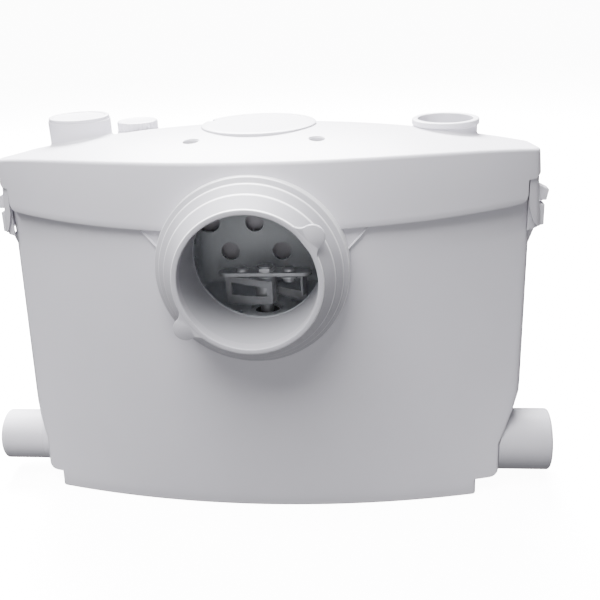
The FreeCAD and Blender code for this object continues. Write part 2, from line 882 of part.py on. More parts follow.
def side_flaps():
    """Hinged flaps that let water in through the side inlets and not out again, with their pins."""
    for name, side in (("left", -1), ("right", 1)):
        x = flap_axis_x(side)
        y = -s.side_inlet_y
        disc = cylinder(f"{name}_flap_disc", s.flap_radius, s.flap_thick, x - s.flap_thick / 2, y,
                        s.side_inlet_height, TO_RIGHT)
        knuckle = along_y(f"{name}_flap_knuckle", s.flap_knuckle - 0.4, y - flap_knuckle_side(),
                          s.flap_knuckle_width, flap_axis_z(), x)
        arm = box(f"{name}_flap_arm", s.flap_thick, s.flap_knuckle_width, s.flap_knuckle + 4,
                  x - s.flap_thick / 2, y - flap_knuckle_side(), flap_axis_z() - s.flap_knuckle - 4)
        hole = along_y(f"{name}_flap_hole", s.flap_pin_radius + s.running_fit, y - s.flap_knuckle_width,
                       2 * s.flap_knuckle_width, flap_axis_z(), x)
        flap = fuse(f"{name}_flap_solid", disc, knuckle, arm)
        node(cut(f"{name}_flap", flap, hole), f"{name}_flap")
        length = s.flap_knuckle_width + 2 * s.flap_ear + 2 * s.seat_gap
        node(along_y(f"{name}_flap_pin", s.flap_pin_radius, y - length / 2, length, flap_axis_z(), x),
             f"{name}_flap_pin")


# Lid


def gasket_top():
    return s.tank_rim + 3


def latch_inner_x():
    """Where the slot beside a latch runs up the lid's front."""
    return s.lid_half_width - s.latch_width


def latch_notch(name, side):
    """Room for a latch: a slot round it, a rounded skirt corner beside it, a slope over its root."""
    inner = latch_inner_x() - s.latch_slot
    wide = s.lid_half_width + 2
    corner = s.skirt_corner
    opening = [
        (inner - corner, s.skirt_bottom - 1),
        (wide, s.skirt_bottom - 1),
        (wide, s.latch_root),
        (inner, s.latch_root),
        (inner, s.skirt_bottom + corner),
        (inner - corner, s.skirt_bottom),
    ]
    slope = [
        (s.lid_half_width - s.latch_chamfer, s.latch_root - 1),
        (wide, s.latch_root - 1),
        (wide, s.latch_root + s.latch_chamfer + 2),
        (s.lid_half_width - s.latch_chamfer, s.latch_root),
    ]
    arc = 4 if side > 0 else 0
    depth = s.lid_front + s.latch_back + s.latch_slot
    return [
        slab(name, "XZ", mirrored(opening, side), -s.lid_front, depth, {arc: -corner}),
        slab(name + "_slope", "XZ", mirrored(slope, side), -s.lid_front, depth),
    ]


def side_tube(name, x, y, top, radius, bottom):
    return cylinder(name, radius, top - bottom, x, y, bottom)


def lid():
    full_height = s.crown_top - s.skirt_bottom + 10
    outer = common("lid_outer_raw", lid_block("lid_plan_block", 0, s.skirt_bottom, full_height),
                   crown_block("lid_crown", 0))
    rounded = rounded_top("lid_outer", outer, s.lid_edge_round)
    low_height = gasket_top() - s.skirt_bottom + 1
    low_room = lid_block("lid_low_room", s.skirt_wall, s.skirt_bottom - 1, low_height)
    high_inset = s.skirt_wall + s.lid_ledge
    high_block = lid_block("lid_high_block", high_inset, gasket_top() - 1, full_height)
    high_room = common("lid_high_room", high_block, crown_block("lid_inner_crown", s.lid_wall))
    shell = cut("lid_shell", rounded, low_room, high_room)
    left_x = -s.left_top_inlet_x
    added = [
        shell,
        side_tube("left_top_spigot", left_x, s.top_inlet_y, s.left_top_inlet_top, s.top_inlet_radius,
                  s.top_inlet_foot),
        side_tube("right_top_spigot", s.right_top_inlet_x, s.top_inlet_y, s.right_top_inlet_top,
                  s.top_inlet_radius, s.top_inlet_foot),
        side_tube("right_top_lip", s.right_top_inlet_x, s.top_inlet_y, s.right_top_inlet_top,
                  s.top_inlet_lip, s.right_top_inlet_top - s.top_inlet_lip_height),
        side_tube("vent_collar", -s.vent_x, s.vent_y, s.vent_seat, s.vent_cover_radius,
                  s.vent_cup_bottom + 8),
        side_tube("vent_cup", -s.vent_x, s.vent_y, s.vent_seat, s.vent_cup_radius + s.vent_cup_wall,
                  s.vent_cup_bottom),
        side_tube("discharge_collar", -s.discharge_x, s.discharge_y, s.discharge_cap_bottom - s.seat_gap,
                  s.discharge_cap_radius + 0.5, s.discharge_cap_bottom - 12),
    ]
    posts = []
    for name, x in (("left", -s.lid_screw_x), ("right", s.lid_screw_x)):
        posts.append(side_tube(f"{name}_screw_boss", x, -s.lid_screw_y, s.crown_top, s.lid_boss_radius,
                               s.basket_top))
    for number, (x, y) in enumerate(box_boss_places()):
        posts.append(side_tube(f"box_boss_{number}", x, y, s.crown_top, s.box_boss_radius,
                               box_cover_top()))
    added.append(common("lid_posts", group("lid_posts_uncut", *posts), outer))
    solid = fuse("lid_solid", *added)
    holes = [
        side_tube("left_top_bore", left_x, s.top_inlet_y, s.left_top_inlet_top + 1, s.top_inlet_bore,
                  s.top_inlet_foot - 1),
        side_tube("right_top_bore", s.right_top_inlet_x, s.top_inlet_y, s.right_top_inlet_top + 1,
                  s.top_inlet_bore, s.top_inlet_foot - 1),
        side_tube("vent_recess", -s.vent_x, s.vent_y, s.vent_seat + 10, s.vent_cover_radius + s.seat_gap,
                  s.vent_seat),
        side_tube("vent_room", -s.vent_x, s.vent_y, s.vent_seat + 1, s.vent_cup_radius,
                  s.vent_cup_bottom + s.vent_cup_wall),
        side_tube("discharge_recess", -s.discharge_x, s.discharge_y, s.crown_top,
                  s.discharge_cap_radius + 0.5, s.discharge_cap_bottom - s.seat_gap),
        side_tube("discharge_hole", -s.discharge_x, s.discharge_y, s.crown_top,
                  s.pipe_radius + s.seat_gap, s.skirt_bottom),
        along_y("lid_neck_hole", s.neck_radius + 1.5, -s.lid_front - 10,
                s.lid_front + 10 - s.neck_inner_end + 3, s.inlet_height),
    ]
    count = int(value_of(s.vent_slots))
    for number in range(count):
        length = s.vent_cup_radius * 1.2
        across = s.vent_y - s.vent_slot_width / 2 + s.vent_slot_pitch * (number - (count - 1) / 2)
        holes.append(box(f"vent_slot_{number}", length, s.vent_slot_width, 10.0, -s.vent_x - length / 2,
                         across, s.vent_cup_bottom - 2))
    for name, x in (("left", -s.lid_screw_x), ("right", s.lid_screw_x)):
        holes.append(side_tube(f"{name}_screw_sink", x, -s.lid_screw_y, s.crown_top + 2, s.lid_screw_hole,
                               s.lid_screw_seat))
        holes.append(side_tube(f"{name}_screw_hole", x, -s.lid_screw_y, s.crown_top,
                               s.lid_screw_radius + s.seat_gap, s.skirt_bottom))
    for number, (x, y) in enumerate(box_boss_places()):
        holes.append(side_tube(f"box_screw_hole_{number}", x, y, box_cover_top() + s.box_screw_bite + 1,
                               s.box_screw_radius + s.running_fit, box_cover_top() - 1))
    for name, side in (("left", -1), ("right", 1)):
        holes += latch_notch(f"{name}_latch_notch", side)
    node(cut("lid", solid, *holes), "lid")


def rounded_top(name, solid, radius):
    """Rounds the edge where the crown meets the lid's sides."""
    doc.recompute()
    limit = value_of(s.skirt_bottom) + 20
    edges = []
    for number, edge in enumerate(solid.Shape.Edges, start=1):
        box_of_edge = edge.BoundBox
        if box_of_edge.ZMin > limit and box_of_edge.ZLength < 25 and not upright(edge):
            edges.append((number, value_of(radius), value_of(radius)))
    thing = doc.addObject("Part::Fillet", name)
    thing.Base = solid
    thing.Edges = edges
    return thing


def upright(edge):
    return edge.BoundBox.XLength < 0.1 and edge.BoundBox.YLength < 0.1


def lid_gasket():
    """Square rubber ring between the tank's rim and the lid, open where the neck passes."""
    inset = s.skirt_wall + s.skirt_gap + s.seat_gap
    outer = lid_block("gasket_outer", inset, s.tank_rim, gasket_top() - s.tank_rim)
    inner = lid_block("gasket_inner", inset + s.tank_wall - 2 * s.seat_gap, s.tank_rim - 1,
                      gasket_top() - s.tank_rim + 2)
    neck = along_y("gasket_neck", s.neck_radius + s.seat_gap, -s.lid_front - 10, s.lid_front,
                   s.inlet_height)
    node(cut("lid_gasket", outer, inner, neck), "lid_gasket")


def latches():
    """The snap tongues: pieces of the skirt's corner, each with a window for its peg and a pull lip."""
    height = s.latch_root - s.seat_gap - s.latch_bottom
    inner_inset = s.latch_inset + s.latch_thick
    skirt = cut("latch_skirt", lid_block("latch_skirt_outer", s.latch_inset, s.latch_bottom, height),
                lid_block("latch_skirt_inner", inner_inset, s.latch_bottom - 1, height + 2))
    window_y = s.peg_front - s.latch_window_gap
    window_depth = s.peg_width + 2 * s.latch_window_gap
    window_z = s.peg_bottom - s.latch_window_drop
    reach = s.lid_half_width + s.latch_lip
    length = reach + 1 - latch_inner_x()
    depth = s.lid_front + s.latch_back
    for name, side in (("latch_left", -1), ("latch_right", 1)):
        start = latch_inner_x() if side > 0 else -latch_inner_x() - length
        region = box(f"{name}_region", length, depth, height, start, -s.lid_front, s.latch_bottom)
        tongue = common(f"{name}_tongue", skirt, region)
        face = s.lid_half_width - inner_inset
        lip = [
            (face, s.latch_bottom),
            (reach, s.latch_bottom),
            (reach, s.latch_bottom + s.latch_lip_edge),
            (s.lid_half_width - s.latch_inset, s.latch_bottom + s.latch_lip_height),
            (face, s.latch_bottom + s.latch_lip_height),
        ]
        pull = slab(f"{name}_lip", "XZ", mirrored(lip, side), s.peg_front, s.latch_back - s.peg_front)
        window = box(f"{name}_window", length, window_depth, s.peg_top + s.latch_inset - window_z,
                     start, window_y, window_z)
        node(cut(name, fuse(f"{name}_solid", tongue, pull), window), name)


def lid_screws():
    screws = []
    for name, x in (("left", -s.lid_screw_x), ("right", s.lid_screw_x)):
        shank_top = s.lid_screw_seat - s.lid_screw_bottom
        corners = [
            (0, 0),
            (s.lid_screw_radius, 0),
            (s.lid_screw_radius, shank_top),
            (s.lid_screw_head, shank_top),
            (s.lid_screw_head, shank_top + s.lid_screw_head_height),
            (0, shank_top + s.lid_screw_head_height),
        ]
        screws.append(turned(f"{name}_lid_screw", corners, x, -s.lid_screw_y, s.lid_screw_bottom))
    node(group("lid_screws", *screws), "lid_screws")


def top_inlet_plug():
    corners = [
        (0, s.plug_depth),
        (s.top_inlet_bore - s.running_fit - s.plug_wall, s.plug_depth),
        (s.top_inlet_bore - s.running_fit - s.plug_wall, 0),
        (s.top_inlet_bore - s.running_fit, 0),
        (s.top_inlet_bore - s.running_fit, s.plug_depth),
        (s.plug_radius, s.plug_depth),
        (s.plug_radius, s.plug_depth + s.plug_thick - 0.8),
        (s.plug_radius - 0.8, s.plug_depth + s.plug_thick),
        (0, s.plug_depth + s.plug_thick),
    ]
    node(turned("top_inlet_plug", corners, -s.left_top_inlet_x, s.top_inlet_y,
                s.left_top_inlet_top - s.plug_depth), "top_inlet_plug")


def discharge_cap():
    """Cap over the riser's end, with fine grip ribs round its edge."""
    height = s.discharge_cap_top - s.discharge_cap_bottom
    inner = s.pipe_radius + s.running_fit
    corners = [
        (inner, 0),
        (s.discharge_cap_radius - s.cap_rib_radius, 0),
        (s.discharge_cap_radius - s.cap_rib_radius, height),
        (0, height),
        (0, height - s.discharge_cap_wall),
        (inner, height - s.discharge_cap_wall),
    ]
    x, y = -s.discharge_x, s.discharge_y
    pieces = [turned("discharge_cap_shell", corners, x, y, s.discharge_cap_bottom)]
    count = int(value_of(s.cap_ribs))
    for number in range(count):
        angle = 2 * math.pi * number / count
        circle = s.discharge_cap_radius - s.cap_rib_radius
        pieces.append(cylinder(f"cap_rib_{number}", s.cap_rib_radius, height - 1,
                               x + circle * math.cos(angle), y + circle * math.sin(angle),
                               s.discharge_cap_bottom))
    node(fuse("discharge_cap", *pieces), "discharge_cap")


def vent():
    """The carbon filter in its cup and the flat cover over it, with a finger notch."""
    x, y = -s.vent_x, s.vent_y
    node(cylinder("vent_filter", s.vent_cup_radius - s.seat_gap, s.filter_thick, x, y,
                  s.vent_cup_bottom + s.vent_cup_wall), "vent_filter")
    skirt = s.vent_cup_radius - s.running_fit
    seat = s.vent_plug_depth
    top = seat + s.vent_cover_thick
    edge = s.sleeve_edge / 2
    corners = [
        (0, seat),
        (skirt - s.vent_cup_wall, seat),
        (skirt - s.vent_cup_wall, 0),
        (skirt, 0),
        (skirt, seat),
        (s.vent_cover_radius, seat),
        (s.vent_cover_radius, top - edge),
        (s.vent_cover_radius - edge, top),
        (0, top),
    ]
    disc = turned("vent_disc", corners, x, y, s.vent_seat - seat)
    notch_angle = math.radians(value_of(s.vent_notch_angle))
    notch = cylinder("vent_notch", s.vent_notch, 10.0, x + s.vent_cover_radius * math.cos(notch_angle),
                     y + s.vent_cover_radius * math.sin(notch_angle), s.vent_seat)
    node(cut("vent_cover", disc, notch), "vent_cover")


# Basket that holds the solids, with the cutter inside it


def stack(*parts):
    """Height above the ground of what stands on the named parts of the pump and motor."""
    heights = {
        "feet": s.pump_foot_height,
        "plate": s.suction_plate_thick,
        "volute": s.volute_height,
        "base": s.base_plate_thick,
        "can": s.motor_can_height,
        "top": s.top_plate_thick,
    }
    level = s.tank_floor
    for part in parts:
        level = level + heights[part]
    return level


def top_plate_bottom():
    return stack("feet", "plate", "volute", "base", "can")


def basket_bottom():
    return top_plate_bottom() + s.top_plate_thick


def basket_plan(inset):
    front = s.neck_inner_end - s.basket_front_gap - inset
    half = s.basket_half_width - inset
    back = s.basket_back - inset
    corner = s.basket_corner - inset
    corners = [
        (-(half - corner), -front),
        (half - corner, -front),
        (half, -(front - corner)),
        (half, back - corner),
        (half - corner, back),
        (-(half - corner), back),
        (-half, back - corner),
        (-half, -(front - corner)),
    ]
    return corners, {1: corner, 3: corner, 5: corner, 7: corner}


def basket():
    """Tub with staggered rows of round holes, so that only water and ground waste leave it."""
    bottom = basket_bottom()
    corners, rounds = basket_plan(0)
    outer = slab("basket_outer", "XY", corners, bottom, s.basket_top - bottom, rounds)
    corners, rounds = basket_plan(s.basket_wall)
    inner = slab("basket_inner", "XY", corners, bottom + s.basket_floor, s.basket_top, rounds)
    added = [cut("basket_tub", outer, inner)]
    holes = [
        along_y("basket_mouth", s.basket_mouth, -s.neck_inner_end - 5, 10.0, s.inlet_height),
        cylinder("basket_hub_hole", s.basket_hub_hole, 20.0, 0, -s.motor_y, bottom - 5),
    ]
    boss_bottom = s.basket_top - s.basket_boss_height
    web_front = s.neck_inner_end - s.basket_front_gap - 1
    for name, x in (("left", -s.lid_screw_x), ("right", s.lid_screw_x)):
        added.append(cylinder(f"{name}_basket_boss", s.basket_boss_radius, s.basket_boss_height, x,
                              -s.lid_screw_y, boss_bottom))
        added.append(box(f"{name}_boss_web", s.basket_boss_web, web_front - s.lid_screw_y,
                         s.basket_boss_height, x - s.basket_boss_web / 2, -web_front, boss_bottom))
        holes.append(cylinder(f"{name}_basket_screw_hole", s.lid_screw_radius + s.running_fit, 30.0, x,
                              -s.lid_screw_y, s.lid_screw_bottom - 1))
    holes += basket_wall_holes() + basket_floor_holes(bottom)
    node(cut("basket", fuse("basket_solid", *added), *holes), "basket")


def basket_wall_holes():
    """Rows of two holes in the back wall, every other row shifted, and two a row in each side wall."""
    holes = []
    half_pitch = s.basket_hole_pitch / 2
    for row in range(int(value_of(s.basket_rows))):
        z = s.basket_first_row + s.basket_row_pitch * row
        odd = row % 2
        for column in range(2):
            x = s.basket_hole_shift + half_pitch * (2 * column - 2 + odd)
            holes.append(along_y(f"basket_back_hole_{row}_{column}", s.basket_hole,
                                 s.basket_back - s.basket_corner, 2 * s.basket_corner, z, x))
        for column in (-1, 1):
            y = half_pitch * column * (0.6 + 0.2 * odd)
            holes.append(cylinder(f"basket_side_hole_{row}_{column + 1}", s.basket_hole,
                                  3 * s.basket_half_width, -1.5 * s.basket_half_width, y, z, TO_RIGHT))
    return holes


def basket_floor_holes(bottom):
    """A ring of smaller holes in the floor, round the one that clears the cutter's hub."""
    holes = []
    count = int(value_of(s.basket_floor_holes))
    circle = s.basket_hub_hole + 2.6 * s.basket_floor_hole
    for number in range(count):
        angle = 2 * math.pi * (number + 0.5) / count
        holes.append(cylinder(f"basket_floor_hole_{number}", s.basket_floor_hole, 20.0,
                              circle * math.cos(angle), circle * math.sin(angle) - s.motor_y, bottom - 5))
    return holes


def cutter_bar():
    """Steel bar with rounded ends and a hub, keyed on the motor's shaft."""
    half = s.cutter_half_length
    flat = s.cutter_half_width
    corners = [(-(half - flat), -flat), (half - flat, -flat), (half, 0), (half - flat, flat),
               (-(half - flat), flat), (-half, 0)]
    ends = {1: flat, 2: flat, 4: flat, 5: flat}
    bar = slab("cutter_plate", "XY", corners, s.cutter_height, s.cutter_thick, ends)
    place(bar, 0, -s.motor_y, 0)
    hub = cylinder("cutter_hub", s.cutter_hub_radius, s.cutter_hub_height, 0, -s.motor_y,
                   s.cutter_height - s.cutter_hub_height)
    holes = [cylinder("cutter_bore", s.shaft_radius + s.running_fit, s.cutter_height, 0, -s.motor_y, 50)]
    for number, side in enumerate((-1, 1)):
        holes.append(cylinder(f"cutter_pin_hole_{number}", s.pin_radius + s.running_fit, 30.0,
                              side * s.pin_circle, -s.motor_y, s.cutter_height - 10))
    node(cut("cutter_bar", fuse("cutter_solid", bar, hub), *holes), "cutter_bar")
    node(hexagon("cutter_nut", s.nut_flats, s.nut_height, s.shaft_radius + s.running_fit, 0, -s.motor_y,
                 s.cutter_height + s.cutter_thick), "cutter_nut")


def blade_pins():
    lug_bottom = -(s.blade_gap + s.blade_thick + s.blade_gap)
    pins = []
    for number, side in enumerate((-1, 1)):
        corners = [
            (0, lug_bottom - s.pin_head_height),
            (s.pin_head, lug_bottom - s.pin_head_height),
            (s.pin_head, lug_bottom),
            (s.pin_radius, lug_bottom),
            (s.pin_radius, s.cutter_thick),
            (s.pin_head, s.cutter_thick),
            (s.pin_head, s.cutter_thick + s.pin_head_height - 0.8),
            (s.pin_head - 0.8, s.cutter_thick + s.pin_head_height),
            (0, s.cutter_thick + s.pin_head_height),
        ]
        pins.append(turned(f"blade_pin_{number}", corners, side * s.pin_circle, -s.motor_y,
                           s.cutter_height))
    node(group("blade_pins", *pins), "blade_pins")


def blade(name, side):
    """Swinging blade of bent sheet: a lug on the pin, a window plate that hangs from it, and a short
    flange at the plate's end."""
    top = -s.blade_gap
    inner = -s.blade_stand_off
    outer = inner - s.blade_thick
    start = -s.blade_back_end
    end = s.blade_front_end
    low = top - s.blade_height
    plate = slab(f"{name}_plate", "XZ", [(start, low + 2), (end, low + 7), (end, top), (start, top)],
                 outer, s.blade_thick, {0: s.blade_arc})
    window_top = top - s.blade_window_top
    window_low = window_top - s.blade_window_height
    window = slab(f"{name}_window", "XZ", [
        (start + s.blade_frame, window_low), (end - s.blade_frame, window_low + 2.5),
        (end - s.blade_frame, window_top - 0.5), (start + s.blade_frame, window_top + 0.5)],
        outer - 1, s.blade_thick + 2, {0: s.blade_arc})
    lug_corners = [
        (-s.blade_lug, outer),
        (s.blade_lug, outer),
        (s.blade_lug, 0),
        (0, s.blade_lug),
        (-s.blade_lug, 0),
    ]
    lug = slab(f"{name}_lug", "XY", lug_corners, top - s.blade_thick, s.blade_thick,
               {2: s.blade_lug, 3: s.blade_lug})
    flange = box(f"{name}_flange", s.blade_thick, s.blade_stand_off + 1, s.blade_height - 8,
                 start, inner - 0.5, top - s.blade_height + 8)
    hole = cylinder(f"{name}_hole", s.pin_radius + 2 * s.running_fit, 20.0, 0, 0, -10)
    whole = cut(name, fuse(f"{name}_solid", plate, lug, flange), window, hole)
    turn = Rotation(Vector(0, 0, 1), (0 if side < 0 else 180) - value_of(s.blade_turn))
    node(place(whole, side * s.pin_circle, -s.motor_y, s.cutter_height, turn), name)


# Motor and pump, stacked from the tank's floor


def pump_feet():
    feet = []
    for number in range(3):
        angle = math.radians(90 + 120 * number)
        feet.append(cylinder(f"pump_foot_{number}", s.pump_foot_radius, s.pump_foot_height,
                             s.pump_foot_circle * math.cos(angle),
                             s.pump_foot_circle * math.sin(angle) - s.motor_y, stack()))
    node(group("pump_feet", *feet), "pump_feet")


def suction_plate():
    """Bottom plate of the pump, with strainer bars across its inlet."""
    plate = cylinder("suction_disc", s.volute_radius, s.suction_plate_thick, 0, -s.motor_y, stack("feet"))
    hole = cylinder("suction_opening", s.suction_hole, 30.0, 0, -s.motor_y, 0)
    pieces = [cut("suction_ring", plate, hole)]
    for number in range(3):
        y = (number - 1) * s.suction_hole / 2 - s.suction_bar / 2 - s.motor_y
        pieces.append(box(f"suction_bar_{number}", 2 * s.suction_hole + 2, s.suction_bar,
                          s.suction_plate_thick, -s.suction_hole - 1, y, stack("feet")))
    node(fuse("suction_plate", *pieces), "suction_plate")


def outlet_line():
    """The pump's outlet runs level, tangent to the impeller, to the foot of the riser."""
    across = -value_of(s.discharge_x)
    deep = value_of(s.discharge_y) + value_of(s.motor_y)
    reach = math.hypot(across, deep)
    offset = value_of(s.volute_outlet_offset)
    heading = math.atan2(deep, across) + math.asin(offset / reach)
    start = Vector(offset * math.cos(heading - math.pi / 2),
                   offset * math.sin(heading - math.pi / 2) - value_of(s.motor_y),
                   value_of(stack("feet", "plate") + s.pipe_axis_lift))
    length = math.sqrt(reach ** 2 - offset ** 2)
    return start, math.degrees(heading) - 180, length


def outlet_bar(name, radius, begin, length):
    """A round bar on the outlet's line, in its own frame that runs to -X."""
    return cylinder(name, radius, length, -begin, 0, 0, TO_LEFT)


def on_outlet_line(thing):
    start, yaw, _ = outlet_line()
    thing.Placement = Placement(start, Rotation(Vector(0, 0, 1), yaw))
    return thing


def volute():
    """Pump casing: a cup over the impeller with its tangent outlet."""
    bottom = stack("feet", "plate")
    casing = cylinder("volute_casing", s.volute_radius, s.volute_height, 0, -s.motor_y, bottom)
    stub_bar = outlet_bar("volute_stub_bar", s.pipe_radius, 0, s.outlet_stub)
    stub = on_outlet_line(group("volute_stub", stub_bar))
    chamber = cylinder("volute_chamber", s.volute_radius - s.volute_wall, s.volute_height + 2, 0,
                       -s.motor_y, bottom - 1)
    bore_bar = outlet_bar("volute_bore_bar", s.pipe_bore, 0, s.outlet_stub + 5)
    bore = on_outlet_line(group("volute_bore", bore_bar))
    node(cut("volute", fuse("volute_solid", casing, stub), fuse("volute_room", chamber, bore)), "volute")


def discharge_pipe():
    """From the pump's outlet along the floor and up through one bend to the valve."""
    start, yaw, length = outlet_line()
    bend = value_of(s.pipe_bend)
    run = length - bend - value_of(s.outlet_stub)
    rise = value_of(s.valve_seat_height) - start.z - bend
    shapes = {}
    for name, radius, margin in (("solid", s.pipe_radius, 0), ("hollow", s.pipe_bore, 1)):
        level = outlet_bar(f"pipe_{name}_run", radius, value_of(s.outlet_stub) - margin, run + margin)
        elbow = doc.addObject("Part::Torus", f"pipe_{name}_bend")
        bind(elbow, "Radius1", s.pipe_bend)
        bind(elbow, "Radius2", radius)
        elbow.Angle3 = 90
        turn = Rotation(Vector(1, 0, 0), 90).multiply(Rotation(Vector(0, 0, 1), 180))
        place(elbow, -(length - bend), 0, bend, turn)
        upright_part = cylinder(f"pipe_{name}_rise", radius, rise + margin, -length, 0, bend)
        shapes[name] = fuse(f"pipe_{name}", level, elbow, upright_part)
    node(on_outlet_line(cut("discharge_pipe", shapes["solid"], shapes["hollow"])), "discharge_pipe")


def valve():
    """Non-return valve in the riser: its body, a hinged flap on the pipe's end, and the flap's pin."""
    x, y, seat = -s.discharge_x, s.discharge_y, s.valve_seat_height
    socket = s.pipe_radius + s.running_fit
    low = -s.valve_socket
    high = s.valve_height
    corners = [
        (socket, low),
        (s.valve_radius, low),
        (s.valve_radius, high + s.valve_socket),
        (socket, high + s.valve_socket),
        (socket, high),
        (s.valve_bore, high),
        (s.valve_bore, 0),
        (socket, 0),
    ]
    shell = turned("valve_shell", corners, x, y, seat)
    axis_x = x + s.valve_axis
    axis_z = seat + s.valve_axis_lift
    pin_length = 2 * s.valve_radius - 10
    pin_hole = along_y("valve_pin_hole", s.valve_pin_radius + s.running_fit, y - s.valve_radius,
                       2 * s.valve_radius, axis_z, axis_x)
    node(cut("valve_body", shell, pin_hole), "valve_body")
    pin = along_y("discharge_flap_pin", s.valve_pin_radius, y - pin_length / 2, pin_length, axis_z,
                  axis_x)
    node(pin, "discharge_flap_pin")
    disc = cylinder("valve_disc", s.valve_flap_radius, s.valve_flap_thick, x, y, seat + s.seat_gap)
    trim = box("valve_disc_trim", 10.0, 40.0, 10.0, axis_x - 0.5, y - 20, seat - 3)
    arm = box("valve_arm", 5.0, 6.0, s.valve_flap_thick, axis_x - 5, y - 3, seat + s.seat_gap)
    knuckle = along_y("valve_knuckle", s.valve_knuckle, y - 3, 6.0, axis_z, axis_x)
    hole = along_y("valve_knuckle_hole", s.valve_pin_radius + s.running_fit, y - 10, 20.0, axis_z, axis_x)
    flap = fuse("valve_flap_solid", cut("valve_disc_cut", disc, trim), arm, knuckle)
    node(cut("discharge_flap", flap, hole), "discharge_flap")
    riser_bottom = seat + s.valve_height
    riser = ring("riser", s.pipe_radius, s.pipe_bore, s.riser_top - riser_bottom, x, y, riser_bottom)
    node(riser, "riser")


def motor():
    y = -s.motor_y
    base = stack("feet", "plate", "volute")
    can = stack("feet", "plate", "volute", "base")
    top = top_plate_bottom()
    bearing = s.bearing_radius + s.running_fit
    seal = s.seal_radius + s.running_fit
    shaft_hole = s.shaft_radius + 1.5
    base_corners = [
        (seal, 0),
        (s.volute_radius, 0),
        (s.volute_radius, s.base_plate_thick),
        (bearing, s.base_plate_thick),
        (bearing, s.base_plate_thick - s.bearing_width),
        (shaft_hole, s.base_plate_thick - s.bearing_width),
        (shaft_hole, s.seal_width - 0.2),
        (seal, s.seal_width - 0.2),
    ]
    node(turned("motor_base_plate", base_corners, 0, y, base), "motor_base_plate")
    top_corners = [
        (bearing, 0),
        (s.top_plate_radius, 0),
        (s.top_plate_radius, s.top_plate_thick),
        (seal, s.top_plate_thick),
        (seal, s.top_plate_thick - s.seal_width),
        (shaft_hole, s.top_plate_thick - s.seal_width),
        (shaft_hole, s.bearing_width),
        (bearing, s.bearing_width),
    ]
    node(turned("motor_top_plate", top_corners, 0, y, top), "motor_top_plate")
    can_bore = s.motor_can_radius - s.motor_can_wall
    node(ring("motor_can", s.motor_can_radius, can_bore, s.motor_can_height, 0, y, can), "motor_can")
    hole = s.shaft_radius + s.running_fit
    node(ring("lower_bearing", s.bearing_radius, hole, s.bearing_width, 0, y, can - s.bearing_width),
         "lower_bearing")
    node(ring("upper_bearing", s.bearing_radius, hole, s.bearing_width, 0, y, top), "upper_bearing")
    node(ring("lower_seal", s.seal_radius, hole, s.seal_width - 0.2, 0, y, base), "lower_seal")
    node(ring("upper_seal", s.seal_radius, hole, s.seal_width, 0, y,
              top + s.top_plate_thick - s.seal_width), "upper_seal")
    stack_bottom = can + s.stack_lift
    core = can_bore - s.running_fit
    node(ring("stator_core", core, s.stator_bore, s.stack_height, 0, y, stack_bottom), "stator_core")
    for name, z in (("lower_winding", stack_bottom - s.winding_height),
                    ("upper_winding", stack_bottom + s.stack_height)):
        middle = (s.winding_inner + s.winding_outer) / 2
        shoulder = s.winding_height / 4
        corners = [
            (s.winding_inner, 0),
            (s.winding_outer, 0),
            (s.winding_outer, s.winding_height - shoulder),
            (middle, s.winding_height),
            (s.winding_inner, s.winding_height - shoulder),
        ]
        if name == "lower_winding":
            corners = [(radius, s.winding_height - level) for radius, level in reversed(corners)]
        node(turned(name, corners, 0, y, z), name)
    node(ring("rotor_core", s.stator_bore - s.air_gap, hole, s.stack_height, 0, y, stack_bottom),
         "rotor_core")
    shaft_bottom = stack("feet", "plate") + s.impeller_clearance
    shaft_top = s.cutter_height + s.cutter_thick + s.nut_height + s.shaft_end
    shaft = cylinder("motor_shaft", s.shaft_radius, shaft_top - shaft_bottom, 0, y, shaft_bottom)
    node(shaft, "motor_shaft")


def impeller():
    """Disc with backward-curved vanes below it, each the sliver between two arcs."""
    top = stack("feet", "plate", "volute") - s.impeller_clearance
    disc_bottom = top - s.impeller_disc
    vane_bottom = stack("feet", "plate") + s.impeller_clearance
    pieces = [
        cylinder("impeller_disc", s.impeller_radius, s.impeller_disc, 0, 0, disc_bottom),
        cylinder("impeller_hub", s.impeller_hub, top - vane_bottom, 0, 0, vane_bottom),
    ]
    count = int(value_of(s.impeller_vanes))
    inner = s.impeller_hub - 1.5
    outer = s.impeller_radius - 1
    bow = s.impeller_radius
    for number in range(count):
        corners = [(inner, -s.impeller_vane_thick / 2), (outer, -s.impeller_vane_thick / 2),
                   (outer, s.impeller_vane_thick / 2), (inner, s.impeller_vane_thick / 2)]
        vane = slab(f"vane_{number}", "XY", corners, vane_bottom, disc_bottom - vane_bottom + 1,
                    {0: bow, 2: -(bow - s.impeller_vane_thick)})
        vane.Placement = Placement(Vector(0, 0, 0), Rotation(Vector(0, 0, 1), 360 * number / count))
        pieces.append(vane)
    bore = cylinder("impeller_bore", s.shaft_radius + s.running_fit, 60.0, 0, 0, 0)
    node(place(cut("impeller", fuse("impeller_solid", *pieces), bore), 0, -s.motor_y, 0), "impeller")


# Dry control box that hangs under the lid, with the pressure switch over its air bell


def box_cover_top():
    return s.box_bottom + s.box_height + s.box_cover_thick


def box_boss_places():
    margin = 7.0
    return [
        (s.box_x + margin, -s.box_front + margin),
        (s.box_x + s.box_length - margin, -s.box_front + s.box_depth - margin),
    ]


def inner_floor():
    return s.box_bottom + s.box_wall


def diaphragm_bottom():
    return inner_floor() + 3


def plunger_bottom():
    return diaphragm_bottom() + s.diaphragm_thick + s.seat_gap


def lever_bottom():
    return plunger_bottom() + s.plunger_height + s.lever_gap


def micro_switch_bottom():
    return lever_bottom() + s.lever_thick + s.lever_room


def lever_start():
    return s.tube_x - s.lever_length / 2


